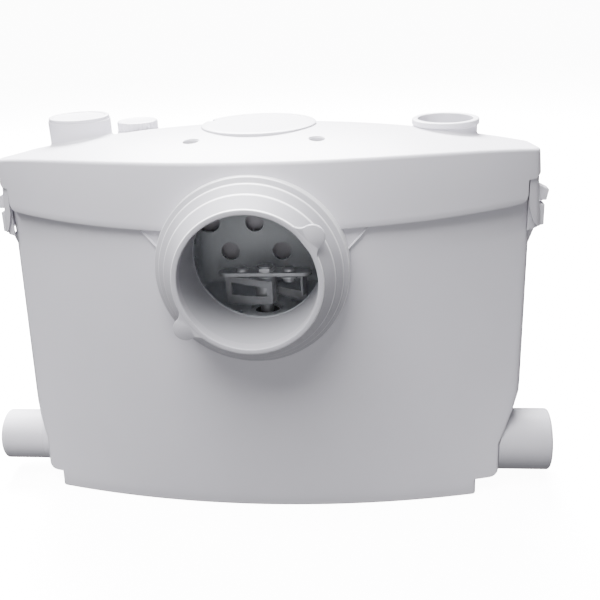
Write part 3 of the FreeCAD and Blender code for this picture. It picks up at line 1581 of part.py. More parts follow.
def control_box():
    wall = s.box_wall
    outer = box("box_outer", s.box_length, s.box_depth, s.box_height, s.box_x, -s.box_front, s.box_bottom)
    inner = box("box_inner", s.box_length - 2 * wall, s.box_depth - 2 * wall, s.box_height,
                s.box_x + wall, wall - s.box_front, inner_floor())
    shelf_z = micro_switch_bottom() + s.micro_switch_height
    shelf_depth = s.box_front - wall - s.tube_y + s.micro_switch_width
    shelf = box("switch_shelf", s.micro_switch_length + 4, shelf_depth, wall,
                s.tube_x - s.micro_switch_length / 2 - 2, wall / 2 - s.box_front, shelf_z)
    bore = s.tube_radius + s.running_fit
    socket = ring("tube_socket", s.tube_radius + s.tube_socket_wall, bore, s.tube_socket_depth,
                  s.tube_x, -s.tube_y, s.box_bottom - s.tube_socket_depth)
    hole = cylinder("tube_hole", bore, s.tube_socket_depth + 10, s.tube_x, -s.tube_y,
                    s.box_bottom - s.tube_socket_depth - 1)
    body = fuse("box_solid", cut("box_tub", outer, inner), shelf, socket)
    node(cut("control_box", body, hole), "control_box")
    plate = box("box_cover_plate", s.box_length, s.box_depth, s.box_cover_thick, s.box_x, -s.box_front,
                s.box_bottom + s.box_height)
    edge = wall + s.seat_gap
    plug_bottom = s.box_bottom + s.box_height - s.box_plug_depth
    plug = box("box_cover_plug", s.box_length - 2 * edge, s.box_depth - 2 * edge, s.box_plug_depth,
               s.box_x + edge, edge - s.box_front, plug_bottom)
    holes = [cylinder(f"cover_hole_{number}", s.box_screw_radius + s.running_fit, 30.0, x, y,
                      box_cover_top() - 20) for number, (x, y) in enumerate(box_boss_places())]
    node(cut("control_box_cover", fuse("box_cover_solid", plate, plug), *holes), "control_box_cover")
    screws = []
    for number, (x, y) in enumerate(box_boss_places()):
        length = s.box_plug_depth + s.box_cover_thick + s.box_screw_bite
        corners = [
            (0, -s.box_screw_head_height),
            (s.box_screw_head, -s.box_screw_head_height),
            (s.box_screw_head, 0),
            (s.box_screw_radius, 0),
            (s.box_screw_radius, length),
            (0, length),
        ]
        screws.append(turned(f"box_screw_{number}", corners, x, y, plug_bottom))
    node(group("box_screws", *screws), "box_screws")


def box_contents():
    wall = s.box_wall
    cap_x = s.box_x + wall + s.capacitor_radius + s.seat_gap
    cap_y = -s.box_front + wall + s.capacitor_radius + s.seat_gap
    edge = s.capacitor_edge
    corners = [
        (0, 0),
        (s.capacitor_radius, 0),
        (s.capacitor_radius, s.capacitor_height - edge),
        (s.capacitor_radius - edge, s.capacitor_height),
        (0, s.capacitor_height),
    ]
    node(turned("capacitor", corners, cap_x, cap_y, inner_floor(), None, {2: edge}), "capacitor")
    back = -s.box_front + s.box_depth - wall
    terminal_x = s.box_x + s.box_length - wall - s.terminal_length
    terminal_z = s.box_bottom + s.box_height - s.terminal_height - 12
    block = box("terminal_body", s.terminal_length, s.terminal_depth, s.terminal_height, terminal_x,
                back - s.terminal_depth, terminal_z)
    wells = [box(f"terminal_well_{number}", s.terminal_length / 5, s.terminal_depth - 3, 8.0,
                 terminal_x + s.terminal_length * (number / 3 + 1 / 15), back - s.terminal_depth - 1,
                 terminal_z + 3.5) for number in range(3)]
    node(cut("terminal_block", block, *wells), "terminal_block")


def pressure_switch():
    x, y = s.tube_x, -s.tube_y
    tube_bottom = s.tank_floor + s.bell_lift
    height = inner_floor() - tube_bottom
    wall = s.tube_radius - s.tube_bore
    node(turned("pressure_tube", [
        (s.bell_radius - wall, 0),
        (s.bell_radius, 0),
        (s.bell_radius, s.bell_height),
        (s.tube_radius, s.bell_height + s.bell_radius - s.tube_radius),
        (s.tube_radius, height),
        (s.tube_bore, height),
        (s.tube_bore, s.bell_height + s.bell_radius - s.tube_radius),
        (s.bell_radius - wall, s.bell_height),
    ], x, y, tube_bottom), "pressure_tube")
    step = diaphragm_bottom() - inner_floor()
    room = s.diaphragm_radius + s.running_fit
    roof = step + s.diaphragm_thick + s.seat_gap + s.plunger_foot_thick + s.plunger_travel + s.seat_gap
    node(turned("switch_housing", [
        (s.tube_bore, 0),
        (s.switch_housing_radius, 0),
        (s.switch_housing_radius, s.switch_housing_height),
        (s.plunger_stem + s.running_fit, s.switch_housing_height),
        (s.plunger_stem + s.running_fit, roof),
        (room, roof),
        (room, step),
        (s.tube_bore, step),
    ], x, y, inner_floor()), "switch_housing")
    diaphragm = cylinder("diaphragm", s.diaphragm_radius, s.diaphragm_thick, x, y, diaphragm_bottom())
    node(diaphragm, "diaphragm")
    node(turned("switch_plunger", [
        (0, 0),
        (s.plunger_foot, 0),
        (s.plunger_foot, s.plunger_foot_thick),
        (s.plunger_stem, s.plunger_foot_thick),
        (s.plunger_stem, s.plunger_height),
        (0, s.plunger_height),
    ], x, y, plunger_bottom()), "switch_plunger")
    knuckle = s.lever_thick * 1.5
    axis_z = lever_bottom() + s.lever_thick / 2
    pin = s.lever_thick / 2
    front = y - s.lever_width / 2
    arm = box("lever_arm", s.lever_length, s.lever_width, s.lever_thick, lever_start(), front,
              lever_bottom())
    eye = along_y("lever_eye", knuckle, front, s.lever_width, axis_z, lever_start())
    eye_hole = along_y("lever_eye_hole", pin + s.running_fit, y - 10, 20.0, axis_z, lever_start())
    node(cut("switch_lever", fuse("lever_solid", arm, eye), eye_hole), "switch_lever")
    cheek = (s.micro_switch_width - s.lever_width) / 2 - 0.2
    pin_length = s.micro_switch_width
    node(along_y("switch_lever_pin", pin, y - pin_length / 2, pin_length, axis_z, lever_start()),
         "switch_lever_pin")
    body = box("switch_body", s.micro_switch_length, s.micro_switch_width, s.micro_switch_height,
               x - s.micro_switch_length / 2, y - s.micro_switch_width / 2, micro_switch_bottom())
    pieces = [body]
    ear_height = micro_switch_bottom() - axis_z + knuckle + 1
    half_width = s.micro_switch_width / 2
    for number, ear_y in enumerate((y - half_width, y + half_width - cheek)):
        pieces.append(box(f"switch_ear_{number}", 3.0, cheek, ear_height, lever_start() - 1.5, ear_y,
                          axis_z - knuckle))
    pin_hole = along_y("switch_pin_hole", pin, y - 10, 20.0, axis_z, lever_start())
    node(cut("micro_switch", fuse("switch_solid", *pieces), pin_hole), "micro_switch")


def cable_gland():
    """Gland for the mains lead in the tank's back wall, with its lock nut inside."""
    back = s.lid_back - s.skirt_wall - s.skirt_gap
    x, z = s.gland_x, s.gland_height
    inside = s.tank_wall + s.gland_nut_length + 2
    shell = turned("gland_shell", [
        (s.gland_bore, 0),
        (s.gland_thread, 0),
        (s.gland_thread, inside),
        (s.gland_head, inside),
        (s.gland_head, inside + s.gland_head_length),
        (s.gland_dome, inside + s.gland_head_length + s.gland_dome_length),
        (s.gland_bore, inside + s.gland_head_length + s.gland_dome_length),
    ], x, back - inside, z, TO_BACK)
    node(shell, "cable_gland")
    node(hexagon("gland_nut", s.gland_nut_flats, s.gland_nut_length, s.gland_thread + s.running_fit, x,
                 back - s.tank_wall - s.gland_nut_length, z, TO_BACK), "gland_nut")


def build():
    tank()
    wc_sleeve()
    right_inlet_sleeve()
    side_flaps()
    lid()
    lid_gasket()
    latches()
    lid_screws()
    top_inlet_plug()
    discharge_cap()
    vent()
    basket()
    cutter_bar()
    blade_pins()
    blade("blade_a", -1)
    blade("blade_b", 1)
    pump_feet()
    suction_plate()
    volute()
    discharge_pipe()
    valve()
    motor()
    impeller()
    control_box()
    box_contents()
    pressure_switch()
    cable_gland()


def check_and_write():
    """Stops on any failed object, then writes each sub-part to its own file."""
    doc.recompute()
    failed = [thing.Name for thing in doc.Objects if "Invalid" in thing.State or "Error" in thing.State]
    if failed:
        raise RuntimeError(f"objects that failed: {failed}")
    for thing in NODES:
        if thing.Shape.isNull() or not thing.Shape.isValid() or not thing.Shape.Solids:
            raise RuntimeError(f"{thing.Label} has no valid solid")
    os.makedirs("parts", exist_ok=True)
    for thing in NODES:
        thing.Shape.exportStep(f"parts/{thing.Label}.step")
        print(f"{thing.Label}: {len(thing.Shape.Solids)} solid, {thing.Shape.Volume / 1000:.1f} cm3")


build()
check_and_write()
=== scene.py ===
import json

import bmesh
import bpy
import numpy as np
from mathutils import Matrix


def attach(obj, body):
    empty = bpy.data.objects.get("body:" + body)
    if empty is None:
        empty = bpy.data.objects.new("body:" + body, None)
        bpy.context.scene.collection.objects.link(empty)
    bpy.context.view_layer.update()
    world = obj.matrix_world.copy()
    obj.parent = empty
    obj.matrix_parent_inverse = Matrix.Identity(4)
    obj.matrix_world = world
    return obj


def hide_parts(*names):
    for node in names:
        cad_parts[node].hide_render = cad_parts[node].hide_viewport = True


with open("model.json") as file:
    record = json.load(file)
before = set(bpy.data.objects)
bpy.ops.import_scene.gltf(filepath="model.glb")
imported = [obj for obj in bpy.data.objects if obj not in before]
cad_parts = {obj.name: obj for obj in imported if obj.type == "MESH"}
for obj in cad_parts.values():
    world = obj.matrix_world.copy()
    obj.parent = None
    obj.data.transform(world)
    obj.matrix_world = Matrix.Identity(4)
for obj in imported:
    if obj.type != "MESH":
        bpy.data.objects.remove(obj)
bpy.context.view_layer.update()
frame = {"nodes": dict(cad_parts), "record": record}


# Camera. It stands a little right of the unit's middle and above the lid, turned down to the
# toilet inlet, as for a catalogue picture.
def stand(name, data, across, back, place):
    """Puts a camera or lamp at a place, its own x axis along across and its z axis along back."""
    pose = np.eye(4)
    pose[:3, :] = np.column_stack([across, np.cross(back, across), back, place])
    thing = bpy.data.objects.new(name, data)
    thing.matrix_world = Matrix(pose.tolist())
    bpy.context.collection.objects.link(thing)
    return thing


camera_place = (0.0805566, -0.5793379, 0.3847317)
yaw, pitch, roll = 0.0973, 0.3876, -0.0413
look = np.array([-np.sin(yaw) * np.cos(pitch), np.cos(yaw) * np.cos(pitch), -np.sin(pitch)])
level_line = np.array([np.cos(yaw), np.sin(yaw), 0.0])
picture_line = np.cos(roll) * level_line + np.sin(roll) * np.cross(level_line, look)
camera = bpy.data.cameras.new("camera")
camera.sensor_width = 36.0
camera.lens = 49.242
bpy.context.scene.camera = stand("camera", camera, picture_line, -look, camera_place)


# Studio. An even dim sky all round, a wide soft lamp overhead, which makes the lid's top the
# brightest surface, one high in front, and a weak one that looks into the toilet inlet.
def lamp(name, power, size, place, target):
    """A square soft lamp at a place, turned to a target."""
    data = bpy.data.lights.new(name, "AREA")
    data.energy = power
    data.size = size
    away = np.subtract(place, target)
    away = away / np.linalg.norm(away)
    across = np.cross((0.0, 1.0, 0.0), away)
    stand(name, data, across / np.linalg.norm(across), away, place)


world = bpy.data.worlds.new("studio")
world.use_nodes = True
sky = world.node_tree.nodes["Background"]
sky.inputs["Color"].default_value = (0.96, 0.965, 1.0, 1.0)
sky.inputs["Strength"].default_value = 0.26
bpy.context.scene.world = world
lamp("overhead", 310.0, 1.0, (-0.20, 0.95, 1.4), (0.0, 0.0, 0.2))
lamp("high_front", 53.0, 0.9, (-0.20, -0.54, 1.38), (0.0, -0.05, 0.15))
lamp("low_front", 9.0, 0.8, (0.15, -1.7, 0.45), (0.0, 0.0, 0.19))


# Floor. A seamless white sheet, lit from behind so that no shadow shows on it; it throws no light
# of its own on the unit.
def feed(node, inputs):
    """Sets a node's inputs: a value is set on the input itself, another node's output is joined."""
    for name, value in inputs.items():
        if isinstance(value, bpy.types.NodeSocket):
            node.id_data.links.new(value, node.inputs[name])
        else:
            node.inputs[name].default_value = value


def add_node(tree, kind, inputs, **settings):
    """Adds a node of a kind, with its settings and its inputs."""
    node = tree.nodes.new(kind)
    for name, value in settings.items():
        setattr(node, name, value)
    feed(node, inputs)
    return node


def new_finish(name):
    """A new material, its node tree, and the object's own coordinates to draw patterns on."""
    material = bpy.data.materials.new(name)
    material.use_nodes = True
    tree = material.node_tree
    return material, tree, add_node(tree, "ShaderNodeTexCoord", {}).outputs["Object"]


def noise(tree, place, scale, detail=2.0):
    """Cloudy noise from 0 to 1 over a place; the scale is its number of clouds in a metre."""
    inputs = {"Vector": place, "Scale": scale, "Detail": detail}
    return add_node(tree, "ShaderNodeTexNoise", inputs).outputs["Fac"]


def two_tone(tree, value, low, high):
    """A colour that runs from one pair (value, colour) to another as the value grows."""
    ramp = add_node(tree, "ShaderNodeValToRGB", {"Fac": value})
    for stop, (position, colour) in zip(ramp.color_ramp.elements, (low, high)):
        stop.position = position
        stop.color = (*colour, 1.0)
    return ramp.outputs["Color"]


def finished(material, inputs):
    """Sets the inputs of a material's shader and hands the material on."""
    feed(material.node_tree.nodes["Principled BSDF"], inputs)
    return material


def lit_sheet():
    """A white surface whose glow changes a little, and slowly, from place to place."""
    material, tree, place = new_finish("lit_sheet")
    glow = two_tone(tree, noise(tree, place, 1.5), (0.0, (0.98, 0.98, 0.99)), (1.0, (1.0, 1.0, 1.0)))
    return finished(material, {
        "Base Color": (0.9, 0.9, 0.9, 1.0),
        "Roughness": 0.9,
        "Emission Strength": 12.0,
        "Emission Color": glow,
    })


reach, drop = 30.0, -0.0002
sheet_mesh = bpy.data.meshes.new("white_sheet")
sheet_mesh.from_pydata([(-reach, -reach, drop), (reach, -reach, drop), (reach, reach, drop),
                        (-reach, reach, drop)], [], [(0, 1, 2, 3)])
sheet_mesh.materials.append(lit_sheet())
white_sheet = bpy.data.objects.new("white_sheet", sheet_mesh)
bpy.context.collection.objects.link(white_sheet)
white_sheet.visible_diffuse = False
white_sheet.visible_glossy = False


# Tank. One injection moulding in off-white plastic, 3.5 mm thick, that leans outwards from an arced
# foot to the lid; its lower ends are cut back to clear the side inlets. It stands on the floor.
HOUSING = "housing"
MM = 0.001
RIM, SHOULDER = 241.0, 202.0
TANK_WALL, TANK_FLOOR = 3.5, 4.0
FOOT_HALF, FOOT_FRONT, FOOT_BACK, FOOT_ARC = 190.0, 58.0, 67.5, 690.0
LID_HALF, LID_DEPTH, LID_ARC, LID_OVERHANG = 197.5, 71.5, 309.0, 4.0
FOOT_LEFT, FOOT_RIGHT, FOOT_TOP = 171.5, 158.0, 13.0
LOW_LEFT, LOW_RIGHT, UNCUT = 183.0, 175.5, 300.0
LEAN_START, LEAN_RISE, LEFT_LEAN, RIGHT_LEAN = 39.0, 65.0, 17.0, 24.5


def arced_plan(half, front, back, arc, corner, back_corner, count=61):
    """Outline from above, walked from the left front corner round to the left back one. The front
    is an arc of radius arc through y = -front, p = c + arc (cos a, sin a); each corner is an arc
    tangent to both its neighbours; the back is straight."""
    mid = arc - front
    low = mid - np.sqrt((arc - corner) ** 2 - (half - corner) ** 2)
    lean = np.arctan2(low - mid, half - corner)
    a = np.linspace(-np.pi - lean, lean, count)
    front_run = np.column_stack([arc * np.cos(a), mid + arc * np.sin(a)])
    a = np.linspace(lean, 0.0, 13)[1:]
    right_front = np.column_stack([half - corner + corner * np.cos(a), low + corner * np.sin(a)])
    a = np.linspace(0.0, np.pi / 2, 13)[:-1]
    right_back = np.column_stack([half - back_corner + back_corner * np.cos(a),
                                  back - back_corner + back_corner * np.sin(a)])
    x = np.linspace(half - back_corner, back_corner - half, count)
    flip = np.array([-1.0, 1.0])
    return np.vstack([(right_front * flip)[::-1], front_run, right_front, right_back,
                      np.column_stack([x, np.full(count, back)]), (right_back * flip)[::-1]])


def lid_plan(inset):
    """The lid's outline from above, drawn in by an inset."""
    return arced_plan(LID_HALF - inset, LID_DEPTH - inset, LID_DEPTH - inset, LID_ARC - inset,
                      14.0 - inset, 22.0 - inset)


def foot_plan(inset):
    """The outline of the tank's foot, drawn in by an inset."""
    return arced_plan(FOOT_HALF - inset, FOOT_FRONT - inset, FOOT_BACK - inset, FOOT_ARC - inset,
                      12.0 - inset, 18.0 - inset)


def curve(t, start, corner, end):
    """From a start towards a corner and on to an end: (1 - t)^2 A + 2 t (1 - t) C + t^2 B."""
    return (1 - t) ** 2 * start + 2 * t * (1 - t) * corner + t ** 2 * end


def at_height(plan, z):
    """Points (x, y) set at a height."""
    return np.column_stack([plan, np.full(len(plan), z)])


def tank_ring(z, left, right, inset, ease=2.2, count=72):
    """One level of the tank, walked round. The plan leans as (1 - s) foot + s lid with s = z / 202,
    and is cut off upright at x = -left and x = right; each cut corner is a curve that starts and
    ends an ease away from it."""
    share = np.clip(z / SHOULDER, 0.0, 1.0)
    plan = (1 - share) * foot_plan(inset) + share * lid_plan(LID_OVERHANG + inset)
    half = plan[:, 0].max()
    split = np.argmax(plan[:, 0] >= half - 1e-9)
    front, back = plan[:split + 1], plan[split + 1:]
    back = back[np.argsort(back[:, 0], kind="stable")]
    low, high = -min(left, half), min(right, half)
    across = np.sin(np.linspace(-np.pi / 2, np.pi / 2, count)) * 0.5 + 0.5
    x = (low + ease) + (high - low - 2 * ease) * (0.6 * across + 0.4 * np.linspace(0, 1, count))
    t = np.linspace(0.0, 1.0, 7)[1:-1, None]

    def along(line, v):
        return np.interp(v, line[:, 0], line[:, 1])

    def side_run(edge, inner):
        bottom, top = along(front, edge), along(back, edge)
        run = np.column_stack([np.full(9, edge), np.linspace(bottom + ease, top - ease, 9)])
        first, last = np.array([inner, along(front, inner)]), np.array([inner, along(back, inner)])
        return np.vstack([curve(t, first, np.array([edge, bottom]), run[0]), run,
                          curve(t, run[-1], np.array([edge, top]), last)])

    ring = np.vstack([np.column_stack([x, along(front, x)]), side_run(high, x[-1]),
                      np.column_stack([x[::-1], along(back, x[::-1])]), side_run(low, x[0])[::-1]])
    return at_height(ring, z)


def gathered(ring, count=72):
    """Closes a level: its front and its back points are drawn together on the line y = 0."""
    spine, end = ring.copy(), 120.0
    x = np.linspace(-end, end, count)
    sides = (len(ring) - 2 * count) // 2
    spine[:, 0] = np.concatenate([x, np.full(sides, end), x[::-1], np.full(sides, -end)])
    spine[:, 1] = 0.0
    return spine


def waist(inset, lift):
    """How far the tank reaches left and right at each height, as rows (z, left, right): the foot, a
    rounded step out over it, upright ends, and ends that lean out to z = 104."""
    a = np.linspace(0.0, np.pi / 2, 6)
    step, r = FOOT_TOP + lift, 5.0
    rounded = np.column_stack([step + r - r * np.cos(a), LOW_LEFT - r + r * np.sin(a),
                               LOW_RIGHT - r + r * np.sin(a)])
    upright = np.array([[LEAN_START, LOW_LEFT, LOW_RIGHT], [39.8, 183.1, 175.7]])
    z = np.array([46.0, 56.0, 68.0, 78.0, 84.0, 90.0, 97.0, 104.0, 130.0, 165.0, 201.5, 202.0])
    lean = (np.minimum(z, LEAN_START + LEAN_RISE) - LEAN_START) / LEAN_RISE
    leaning = np.column_stack([z, LOW_LEFT + LEFT_LEAN * lean, LOW_RIGHT + RIGHT_LEAN * lean])
    table = np.vstack([[[step, FOOT_LEFT, FOOT_RIGHT]], rounded, upright, leaning])
    table[:, 1:] -= inset
    return table


def skin(name, rows, material, body=HOUSING):
    """A piece from rows of points in millimetres. Each row closes round, neighbouring rows are
    joined by four-sided faces, equal points are merged and the faces turned outwards."""
    grid = np.array(rows) * MM
    number = np.arange(grid.shape[0] * grid.shape[1]).reshape(grid.shape[:2])
    following = np.roll(number, -1, axis=1)
    quads = np.stack([number[:-1], following[:-1], following[1:], number[1:]], axis=-1)
    mesh = bpy.data.meshes.new(name)
    mesh.from_pydata(grid.reshape(-1, 3).tolist(), [], quads.reshape(-1, 4).tolist())
    work = bmesh.new()
    work.from_mesh(mesh)
    bmesh.ops.remove_doubles(work, verts=work.verts, dist=2e-6)
    bmesh.ops.dissolve_degenerate(work, edges=work.edges, dist=1e-6)
    bmesh.ops.recalc_face_normals(work, faces=work.faces)
    work.to_mesh(mesh)
    work.free()
    piece = bpy.data.objects.new(name, mesh)
    bpy.context.collection.objects.link(piece)
    mesh.materials.append(material)
    shade(piece)
    if body:
        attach(piece, body)
    return piece


def shade(piece):
    """Smooth shading that stays crisp over edges sharper than 0.6 radians."""
    piece.data.polygons.foreach_set("use_smooth", np.ones(len(piece.data.polygons), dtype=bool))
    piece.data.set_sharp_from_angle(angle=0.6)


def settle(piece):
    """Applies a piece's modifiers to its mesh."""
    graph = bpy.context.evaluated_depsgraph_get()
    mesh = bpy.data.meshes.new_from_object(piece.evaluated_get(graph), depsgraph=graph)
    piece.modifiers.clear()
    piece.data = mesh
    shade(piece)


def carve(piece, cutters, operation="DIFFERENCE"):
    """Cuts solids out of a piece, or joins them to it, and removes them."""
    for cutter in cutters:
        change = piece.modifiers.new("cut", "BOOLEAN")
        change.operation = operation
        change.solver = "EXACT"
        change.material_mode = "TRANSFER" if operation == "UNION" else "INDEX"
        change.object = cutter
    settle(piece)
    for cutter in cutters:
        bpy.data.objects.remove(cutter)


def full_turn(steps):
    """The angles of a full turn, in even steps."""
    return np.linspace(0.0, 2 * np.pi, steps, endpoint=False)


def round_rows(centre, radius, along, a, axis="z"):
    """Rows of points that go round an axis: c + r cos a and c + r sin a across it, c + along on it."""
    grid = np.stack(np.broadcast_arrays(radius * np.cos(a), radius * np.sin(a), along), axis=-1)
    order = {"x": [2, 0, 1], "y": [0, 2, 1], "z": [0, 1, 2]}[axis]
    return grid[..., order] + centre


def turned(name, profile, centre, axis, material, body=HOUSING, steps=96):
    """A profile of (radius, place along the axis) turned round it."""
    grid = round_rows(centre, profile[:, 0, None], profile[:, 1, None], full_turn(steps), axis)
    return skin(name, grid, material, body)


def eased(corners, ease, steps=5, closed=True):
    """Corners rounded: each becomes a curve that starts and ends an ease away from it, or at most
    half-way to its neighbours."""
    corner = np.array(corners, dtype=float)
    ease = np.broadcast_to(np.asarray(ease, dtype=float), len(corner))[:, None]
    before, after = np.roll(corner, 1, axis=0) - corner, np.roll(corner, -1, axis=0) - corner
    long_before = np.linalg.norm(before, axis=1, keepdims=True)
    long_after = np.linalg.norm(after, axis=1, keepdims=True)
    start = corner + before * np.minimum(ease / np.maximum(long_before, 1e-9), 0.5)
    end = corner + after * np.minimum(ease / np.maximum(long_after, 1e-9), 0.5)
    t = np.linspace(0.0, 1.0, steps)[None, :, None]
    line = curve(t, start[:, None], corner[:, None], end[:, None]).reshape(-1, corner.shape[1])
    return np.vstack([line, line[:1]]) if closed else line


def spread(tree, value, low, high):
    """A number that runs from low to high as a value grows from 0 to 1."""
    inputs = {"Value": value, "To Min": low, "To Max": high}
    return add_node(tree, "ShaderNodeMapRange", inputs).outputs["Result"]


def raised(tree, height, depth, strength=1.0, invert=False):
    """A bump that stands up where a value is high, as deep as depth in metres."""
    inputs = {"Height": height, "Distance": depth, "Strength": strength}
    return add_node(tree, "ShaderNodeBump", inputs, invert=invert).outputs["Normal"]


def moulded(name, colour, roughness, grain=0.00006, mottle=0.02):
    """Moulded plastic: a fine spark-eroded grain from noise, a slow change of tone over the
    moulding, and a gloss that varies a little with the grain."""
    material, tree, place = new_finish(name)
    fine = noise(tree, place, 1500.0)
    dark, pale = np.multiply(colour, 1 - mottle), np.multiply(colour, 1 + mottle)
    return finished(material, {
        "Base Color": two_tone(tree, noise(tree, place, 14.0, 3.0), (0.3, dark), (0.7, pale)),
        "Roughness": spread(tree, fine, roughness - 0.05, roughness + 0.05),
        "Normal": raised(tree, fine, grain, 0.6),
    })


white = moulded("moulded_white", (0.595, 0.583, 0.632), 0.42)


def tank_shell():
    """Levels from the middle of the underside out, up the outside, over the rim, down the inside
    and in to the middle of the floor."""
    a = np.linspace(0.0, np.pi / 2, 5)
    foot, r, soft = [], 1.5, 0.6
    for v in a:
        inset = r - r * np.sin(v)
        foot.append(tank_ring(r - r * np.cos(v), FOOT_LEFT - inset, FOOT_RIGHT - inset, inset))
    outside = [tank_ring(z, left, right, 0.0) for z, left, right in waist(0.0, 0.0)]
    rim = [tank_ring(z, UNCUT, UNCUT, inset) for z, inset in (
        (RIM - soft, 0.0), (RIM, soft), (RIM, TANK_WALL - soft), (RIM - soft, TANK_WALL))]
    hollow = [tank_ring(z, left, right, TANK_WALL) for z, left, right in waist(TANK_WALL, TANK_FLOOR)]
    bottom = tank_ring(TANK_FLOOR, FOOT_LEFT - TANK_WALL, FOOT_RIGHT - TANK_WALL, TANK_WALL)
    rings = [gathered(foot[0])] + foot + outside + rim + hollow[::-1] + [bottom, gathered(bottom)]
    return skin("tank_shell", rings, white)


INLET = (0.0, 0.0, 198.0)
SIDE_INLET = (0.0, -7.0, 30.7)


def round_cutter(radius, start, end, centre, axis, flare=0.0):
    """A plug to cut a round hole with; a flare widens its last millimetre and so eases the edge."""
    profile = np.array([[0, start], [radius, start], [radius, end - 2 * flare],
                        [radius + flare, end - flare / 2], [radius + flare, end], [0, end]])
    return turned("cutter", profile, centre, axis, white, None)


tank = tank_shell()
carve(tank, [round_cutter(48.0, -120.0, -40.0, INLET, "y"),
             round_cutter(16.8, -230.0, -160.0, SIDE_INLET, "x"),
             round_cutter(17.2, 150.0, 230.0, SIDE_INLET, "x"),
             round_cutter(7.8, 55.0, 80.0, (105.0, 0.0, 208.0), "y")])
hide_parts("tank")


# What is moulded on the tank: the inlet's neck, in a darker grey that paints the shade in its dull
# bore, the two side spigots, the pegs that the lid's latches snap over, the ears that carry the flaps'
# pins, and a low pad on each side of the neck that widens its root.
NECK_BORE, NECK_OUTSIDE, NECK_FRONT, NECK_BACK = 45.5, 51.0, -89.78, -46.0


def front_of_tank(x, z):
    """How far forward the tank's front wall stands at (x, z): the arcs of the foot and of the lid,
    y = arc - depth - sqrt(arc^2 - x^2), mixed as the height grows."""
    share = np.clip(z / SHOULDER, 0.0, 1.0)
    foot = FOOT_ARC - FOOT_FRONT - np.sqrt(FOOT_ARC ** 2 - x ** 2)
    lid = LID_ARC - LID_DEPTH - np.sqrt((LID_ARC - LID_OVERHANG) ** 2 - x ** 2)
    return (1 - share) * foot + share * lid


def at_depth(outline, y):
    """Points (x, z) of a front view set at a depth."""
    return np.column_stack([outline[:, 0], np.full(len(outline), y), outline[:, 1]])


def upright_bar(name, outline, start, end, material, ease=0.6, body=HOUSING):
    """An outline of (x, z) corners carried straight back from y = start to y = end, with its own
    corners eased and its two ends drawn in by the ease."""
    line = eased(outline, ease, 4, closed=False)
    middle = line.mean(axis=0)
    inward = line + ease * (middle - line) / np.linalg.norm(middle - line, axis=1, keepdims=True)
    levels = [(middle + 0 * line, start), (inward, start), (line, start + ease), (line, end - ease),
              (inward, end), (middle + 0 * line, end)]
    return skin(name, [at_depth(xz, y) for xz, y in levels], material, body)


def both_sides(outline, side):
    """An outline drawn for the right side, mirrored where side is -1."""
    return np.array(outline, dtype=float) * (side, 1.0)


def neck_pad(name, side):
    """A low pad with a raised edge that widens the neck's root up to the lid. Its rows shrink towards
    its middle, each at y = front(x, z) + offset, so that it lies on the tank's curved wall."""
    corners = [(48.5, 205.0), (60.5, 205.0), (83.5, 229.0), (39.0, 229.0)]
    outline = both_sides(eased(corners, 3.0, 6), side)
    middle = outline.mean(axis=0)
    rows = []
    for share, offset in ((0.0, -0.7), (0.6, -0.7), (0.87, -0.7), (0.9, -1.0), (0.92, -1.9), (0.94, -2.1),
                          (0.97, -2.1), (0.99, -1.7), (1.0, -1.0), (1.0, 1.0), (0.0, 1.0)):
        x, z = (middle + (outline - middle) * share).T
        rows.append(np.column_stack([x, front_of_tank(x, z) + offset, z]))
    return skin(name, rows, white)


neck_profile = [(NECK_BORE, NECK_BACK), (NECK_BORE, NECK_FRONT + 0.05), (NECK_BORE + 0.05, NECK_FRONT),
                (NECK_OUTSIDE - 0.8, NECK_FRONT), (NECK_OUTSIDE, NECK_FRONT + 0.8),
                (NECK_OUTSIDE, NECK_BACK), (NECK_BORE, NECK_BACK)]
# The neck's darker grey is painted shade: it darkens the inside of the bore.
neck = turned("inlet_neck", np.array(neck_profile), INLET, "y",
              moulded("neck_painted_shade", (0.38, 0.38, 0.41), 0.6), steps=160)
left_wall = eased([(20.0, 222.5), (20.0, 188.0), (20.3, 188.0), (20.3, 163.0), (16.8, 163.0), (16.8, 222.5)],
                  0.8)
left_pipe = turned("left_spigot", left_wall * (1.0, -1.0), SIDE_INLET, "x", white)
right_wall = eased([(19.6, 150.0), (19.6, 212.5), (17.2, 212.5), (17.2, 150.0)], 0.8)
right_pipe = turned("right_spigot", right_wall, SIDE_INLET, "x", white)
tank_pieces = [neck, left_pipe, right_pipe]
nose = [(190.0, 221.0), (204.7, 221.0), (206.2, 229.0), (194.5, 235.0), (190.0, 235.0)]
rib = [(190.0, 185.0), (193.5, 189.0), (197.5, 201.0), (190.0, 201.0)]
ear = [(1.55, -7.9), (7.2, -7.9), (7.2, 0.0), (0.0, 3.0), (-2.4, 2.4), (-2.4, -2.4), (1.55, -2.4)]
for side, name, pin_x in ((-1.0, "left", -161.45), (1.0, "right", 148.45)):
    tank_pieces.append(upright_bar(f"{name}_peg", both_sides(nose, side), 7.0, 17.0, white))
    tank_pieces.append(upright_bar(f"{name}_peg_rib", both_sides(rib, side), 7.0, 17.0, white))
    tank_pieces.append(neck_pad(f"{name}_neck_pad", side))
    for place, y in (("front", -17.3), ("back", 0.3)):
        outline = both_sides(ear, side) + (pin_x, 54.0)
        tank_pieces.append(upright_bar(f"{name}_flap_ear_{place}", outline, y, y + 3.0, white, 0.3))
for piece in tank_pieces:
    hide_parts("tank")


# Rubber sleeve of the toilet inlet. A light grey elastomer moulding, stepped like a cone so that it
# folds as the toilet's outlet is pushed in; it is stretched over the tank's neck and pulled up by
# two ears on its rim.
SLEEVE_FRONT, SLEEVE_EDGE, NECK_SEAT, SKIRT_EDGE = -98.5, 64.8, 8.7, 223.5


